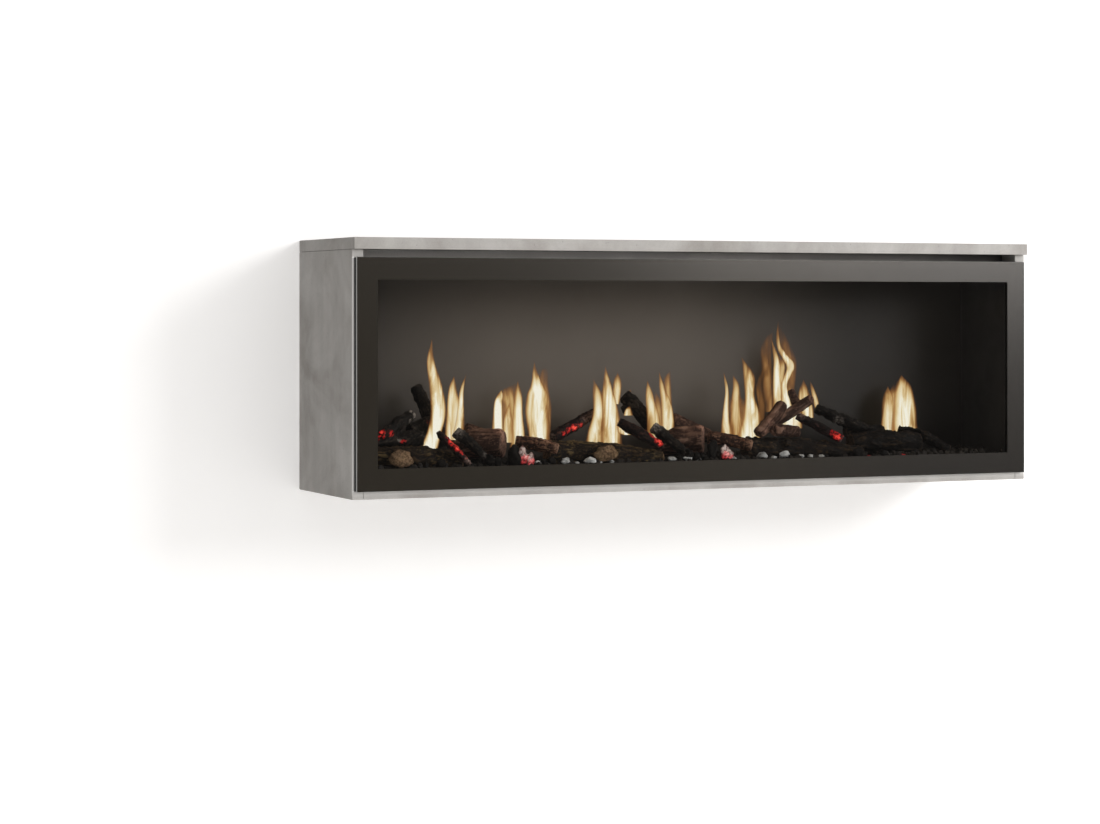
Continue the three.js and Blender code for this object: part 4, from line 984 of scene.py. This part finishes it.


# %% [markdown]
# Each tongue was drawn from its tip down. We keep the outlines in one table, so that a tongue can be moved,
# widened or made cooler by changing one number. A high heat gives a cream core, and the faint veils between
# the tongues are nothing but cool sheets.

# %% The flames' outlines: depth, heat, and rows of height, middle and width, in millimetres
FLAMES = {
    "left tall": (-190, 1.15, [(240, -448, 1), (207, -450, 11), (170, -442, 20), (129, -437, 25),
        (99, -443, 23), (68, -454, 29)]),
    "left second": (-190, 1.05, [(183, -411, 1), (162, -413, 12), (125, -411, 25), (84, -411, 30)]),
    "left thin": (-191, 0.9, [(186, -391, 1), (162, -398, 4), (139, -400, 8), (112, -402, 15),
        (84, -406, 23)]),
    "second low": (-190, 1.25, [(160, -331, 1), (150, -334, 9), (134, -337, 13), (84, -338, 18)]),
    "second fill": (-191, 0.85, [(140, -318, 1), (122, -320, 10), (104, -320, 16), (78, -318, 22)]),
    "second veil": (-187, 0.45, [(171, -305, 3), (156, -316, 36), (124, -313, 40), (84, -308, 34)]),
    "second front": (-192, 0.95, [(174, -304, 1), (151, -303, 12), (124, -304, 15), (96, -304, 22),
        (70, -304, 27)]),
    "third wide": (-181, 1.1, [(204, -271, 1), (190, -270, 6), (177, -268, 12), (163, -266, 24),
        (152, -266, 35), (126, -267, 39), (101, -264, 38), (78, -263, 32)]),
    "third veil": (-178, 0.44, [(194, -251, 4), (188, -253, 13), (166, -256, 20), (137, -250, 18),
        (117, -248, 14), (80, -247, 8)]),
    "fourth low": (-181, 0.85, [(175, -168, 1), (152, -162, 14), (120, -160, 17), (91, -166, 24),
        (72, -168, 29)]),
    "fourth tall": (-184, 1.0, [(196, -149, 1), (170, -146, 12), (140, -142, 23), (107, -138, 32),
        (70, -137, 35)]),
    "fourth curl": (-182, 0.7, [(186, -126, 1), (168, -127, 14), (144, -128, 11), (135, -128, 7)]),
    "fourth veil": (-179, 0.4, [(165, -148, 2), (145, -146, 30), (110, -146, 38), (72, -146, 44)]),
    "fourth foot": (-193, 1.0, [(107, -132, 2), (99, -126, 12), (90, -119, 23), (86, -114, 13)]),
    "fourth spark": (-192, 0.95, [(132, -110, 1), (125, -112, 9), (117, -112, 15)]),
    "fourth wisp": (-138, 0.7, [(158, -82, 1), (149, -85, 4), (140, -90, 3)]),
    "fifth low": (-192, 0.85, [(172, -78, 1), (147, -74, 13), (114, -68, 21), (80, -66, 24)]),
    "fifth tall": (-194, 0.95, [(186, -58, 1), (159, -52, 9), (126, -44, 19), (94, -42, 21), (72, -43, 12)]),
    "fifth veil": (-190, 0.45, [(188, -36, 1), (172, -42, 13), (139, -40, 12), (116, -38, 10)]),
    "fifth fill": (-189, 0.4, [(158, -64, 1), (135, -58, 16), (105, -56, 16), (76, -50, 14)]),
    "sixth thin": (-180, 0.8, [(184, 66, 1), (153, 72, 4), (118, 70, 10), (78, 72, 23)]),
    "sixth veil": (-178, 0.6, [(180, 84, 1), (160, 90, 11), (123, 89, 20), (78, 90, 21)]),
    "sixth fill": (-177, 0.4, [(150, 84, 1), (135, 92, 40), (110, 94, 44), (78, 92, 44)]),
    "sixth tall": (-182, 1.0, [(208, 98, 1), (179, 111, 19), (144, 113, 17), (111, 117, 32), (76, 112, 47)]),
    "sixth edge": (-179, 0.4, [(190, 140, 1), (160, 132, 12), (127, 137, 12), (104, 135, 12)]),
    "high halo": (-137, 0.34, [(248, 180, 2), (240, 174, 12), (220, 168, 21), (190, 169, 20), (160, 171, 21),
        (116, 176, 20)]),
    "high outer halo": (-136, 0.34, [(263, 190, 1), (242, 198, 17), (222, 206, 21), (204, 214, 22),
        (188, 218, 17), (165, 214, 20), (140, 210, 22)]),
    "high left": (-139, 1.0, [(236, 177, 1), (202, 186, 9), (169, 188, 15), (112, 188, 17)]),
    "high fill": (-138, 0.62, [(212, 190, 2), (196, 196, 15), (176, 196, 13), (150, 194, 8)]),
    "high right": (-142, 1.1, [(265, 188, 1), (246, 187, 4), (227, 189, 6), (212, 197, 11), (199, 208, 16),
        (188, 211, 13), (175, 205, 11), (160, 199, 10), (144, 201, 14), (106, 206, 22)]),
    "high foot": (-140, 1.0, [(130, 215, 2), (122, 215, 30), (102, 212, 44), (88, 210, 51)]),
    "seventh": (-140, 0.95, [(169, 237, 1), (147, 238, 19), (122, 242, 25), (105, 246, 19)]),
    "seventh wisp": (-138, 0.6, [(166, 251, 1), (138, 260, 8), (114, 266, 6)]),
    "last low": (-150, 0.8, [(156, 394, 1), (134, 395, 22), (100, 396, 28), (70, 395, 30)]),
    "last fill": (-148, 0.5, [(160, 407, 1), (140, 406, 20), (100, 405, 24), (70, 405, 24)]),
    "last tall": (-153, 1.0, [(175, 419, 1), (156, 422, 31), (122, 425, 44), (88, 424, 53), (70, 427, 60)]),
}
print("tongues of flame:", len(FLAMES))


# %% [markdown]
# A sheet is built row by row. Each row has a front and a back line of points, which meet at the rim,
# and the quads between two rows close the skin. The tip is cooler than the rest, and it narrows.

# %% Sheets of flame
RIM = 1.6  # how far the faint rim of a flame reaches past its visible edge, in millimetres
BULGE, RIM_BULGE = 1.6, 0.15  # half of a sheet's thickness in its middle and near its rim
TIP_HEAT, TIP_GAIN = 0.22, 1.75  # the heat's share at the tip, and how fast it grows below
ROWS, COLUMNS = 36, 12  # how finely a sheet is divided


def smooth_rows(rows):
    """Rows on a smooth curve through the given ones."""
    rows = np.array(rows, float)
    place = np.linspace(0, len(rows) - 1, ROWS)
    index = np.clip(place.astype(int), 0, len(rows) - 2)
    t = (place - index)[:, None]
    padded = np.vstack([2 * rows[0] - rows[1], rows, 2 * rows[-1] - rows[-2]])
    a, b, c, d = (padded[index + k] for k in range(4))
    square, cube = 2 * a - 5 * b + 4 * c - d, 3 * b - a - 3 * c + d
    return 0.5 * (2 * b + (c - a) * t + square * t**2 + cube * t**3)


def flame_line(shape, core_layer, depth, heat, from_tip, z, middle, width):
    """The front and the back points of one row."""
    half = max(width, 0.5) / 2 + RIM * min(1.0, from_tip * 5)
    front, back = [], []
    for column in range(COLUMNS + 1):
        s = 2 * column / COLUMNS - 1
        rim = 1 - s * s
        bulge = BULGE * rim * min(1.0, from_tip * 6) + RIM_BULGE
        for line, side in ((front, -1), (back, 1)):
            if side == 1 and column in (0, COLUMNS):
                line.append(front[column])
                continue
            vertex = shape.verts.new(at(middle + s * half, depth + side * bulge, z))
            vertex[core_layer] = heat * (rim ** 0.95) * min(1.0, TIP_HEAT + from_tip * TIP_GAIN)
            line.append(vertex)
    return front, back


def flame_sheet(shape, core_layer, depth, heat, rows):
    """A closed lens along the rows; its front and back share their rim."""
    lines = [flame_line(shape, core_layer, depth, heat, row / (ROWS - 1), *values)
             for row, values in enumerate(smooth_rows(rows))]
    for (front, back), (next_front, next_back) in zip(lines, lines[1:]):
        for k in range(COLUMNS):
            shape.faces.new((front[k], next_front[k], next_front[k + 1], front[k + 1]))
            shape.faces.new((back[k + 1], next_back[k + 1], next_back[k], back[k]))
    for (front, back), step in ((lines[0], 1), (lines[-1], -1)):
        for k in range(COLUMNS):
            ring = dict.fromkeys((front[k], front[k + 1], back[k + 1], back[k]))
            shape.faces.new(list(ring)[::step])


flames = bmesh.new()
core = flames.verts.layers.float.new("core")
for depth, heat, rows in FLAMES.values():
    flame_sheet(flames, core, depth, heat, rows)
bmesh.ops.recalc_face_normals(flames, faces=flames.faces)
settle(from_shape("flames", flames, flame_finish()), "flame_screen")


# %% [markdown]
# ## The camera
#
# The photograph was taken from the left, a little under the height of the top. Its straight
# verticals mean that the camera was level, so the frame is moved by a shift and not by tilting. The
# place, the turn and the focal length come from fitting the cabinet's corners to the photograph.

# %% Camera
EYE, TURN = (-1.9376, -4.0167, -0.0386), math.radians(-23.824)
SENSOR, FOCAL_LENGTH, SHIFT = 36, 86.70, -0.0976  # millimetres, and the shift in sensor widths
camera = thing("camera", bpy.data.cameras.new("camera"))
camera.location, camera.rotation_euler = EYE, (math.pi / 2, 0, TURN)
camera.data.sensor_width, camera.data.lens, camera.data.shift_y = SENSOR, FOCAL_LENGTH, SHIFT
bpy.context.scene.camera = camera
bpy.context.scene.view_settings.view_transform = "Standard"
print("camera:", round(camera.location.length, 2), "metres from the wall rail")


# %% [markdown]
# ## The studio
#
# The room is a pale floor and a white wall. The wall would hide the object's back from a camera
# behind it, so it is seen only from the front, and it throws no shadow and no light: the sky does
# that work. A dark card in front keeps the room out of the clear glass, and a soft box at the card's
# upper right gives the glass a sheen. Both are seen in reflections only.

# %% Wall, floor and cards
FLOOR_Z, WALL_Y, ROOM = -1.15, 0.0015, 9.0
CARDS_Y = -3.3  # the card and the soft box stand this far in front of the wall


def sheet_of(name, corner, right, up, material, *unseen):
    """A flat part of the stage, from a corner and two sides. The rays named in `unseen` miss it."""
    corner, right, up = Vector(corner), Vector(right), Vector(up)
    mesh = bpy.data.meshes.new(name)
    mesh.from_pydata([corner, corner + right, corner + right + up, corner + up], [], [(0, 1, 2, 3)])
    made = thing(name, mesh, material)
    for kind in unseen:
        setattr(made, "visible_" + kind, False)


def wall_paint():
    """Paint on the front of the wall only: its back lets everything through."""
    made = finish("wall_paint", (0.93, 0.925, 0.92), 0.9, Emission_Color=(1, 0.99, 0.985, 1),
                  Emission_Strength=0.23)
    nodes, named = Paint(made.node_tree), made.node_tree.nodes
    behind = nodes("ShaderNodeNewGeometry", out=6)
    painted, clear = named["Principled BSDF"].outputs[0], nodes("ShaderNodeBsdfTransparent")
    mixed = nodes("ShaderNodeMixShader", {0: behind, 1: painted, 2: clear})
    made.node_tree.links.new(mixed, named["Material Output"].inputs[0])
    return made


def glowing_card(level):
    made, nodes = blank_material("card")
    glow = nodes("ShaderNodeEmission", {"Color": (1.0, 0.94, 0.88, 1), "Strength": level})
    nodes("ShaderNodeOutputMaterial", {"Surface": glow})
    return made


def card(name, left, foot, width, height, level):
    """A card that only reflections show."""
    sheet_of(name, (left, CARDS_Y, foot), (width, 0, 0), (0, 0, height), glowing_card(level),
             "camera", "diffuse", "shadow", "transmission")


sheet_of("floor", (-ROOM, -ROOM, FLOOR_Z), (2 * ROOM, 0, 0), (0, 2 * ROOM, 0),
         finish("floor_paint", (0.8, 0.79, 0.775), 0.8))
sheet_of("wall", (-ROOM, WALL_Y, FLOOR_Z), (2 * ROOM, 0, 0), (0, 0, ROOM - FLOOR_Z), wall_paint(),
         "diffuse", "glossy", "shadow", "transmission")
card("dark_card", -0.6, -1.1, 4.8, 1.52, level=0.05)
card("soft_box", 1.5, 0.1, 3.3, 1.9, level=5.5)


# %% [markdown]
# Light comes softly from everywhere, stronger from the right, because the sky's strength follows the
# direction. One broad lamp on the right gives the shadow to the left, a weak one low on the left
# fills the underside, and a narrow strip behind the top of the glass lights the logs from above.

# %% Sky and lamps
world = bpy.data.worlds.new("sky")
bpy.context.scene.world = world
world.use_nodes = True
world.node_tree.nodes.clear()
sky = Paint(world.node_tree)
direction = sky("ShaderNodeTexCoord", out=0)
strength = sky.spread(sky.part(direction, 0), -1.0, 1.0, 0.4, 1.0)
background = sky("ShaderNodeBackground", {"Color": (1.0, 0.985, 0.97, 1), "Strength": strength})
sky("ShaderNodeOutputWorld", {"Surface": background})


def lamp(name, place, aim, size, watts, colour=(1, 1, 1)):
    light = bpy.data.lights.new(name, "AREA")
    light.size, light.energy, light.color = size, watts, colour
    made = thing(name, light)
    made.location = place
    made.rotation_euler = (Vector(aim) - Vector(place)).to_track_quat("-Z", "Y").to_euler()
    print(f"{name}: {watts} W")
    return made


lamp("broad_lamp", (3.1, -3.3, 1.5), (0, 0, -0.1), 1.9, 130)
lamp("low_fill", (-1.6, -3.6, -0.9), (-0.2, 0, -0.2), 1.4, 15)
strip = lamp("firebox_strip", at(0, -236, 326), at(0, -180, 60), 1.05, 0.52, (1.0, 0.84, 0.66))
strip.data.shape, strip.data.size_y = "RECTANGLE", 0.012
strip.visible_camera = strip.visible_glossy = False
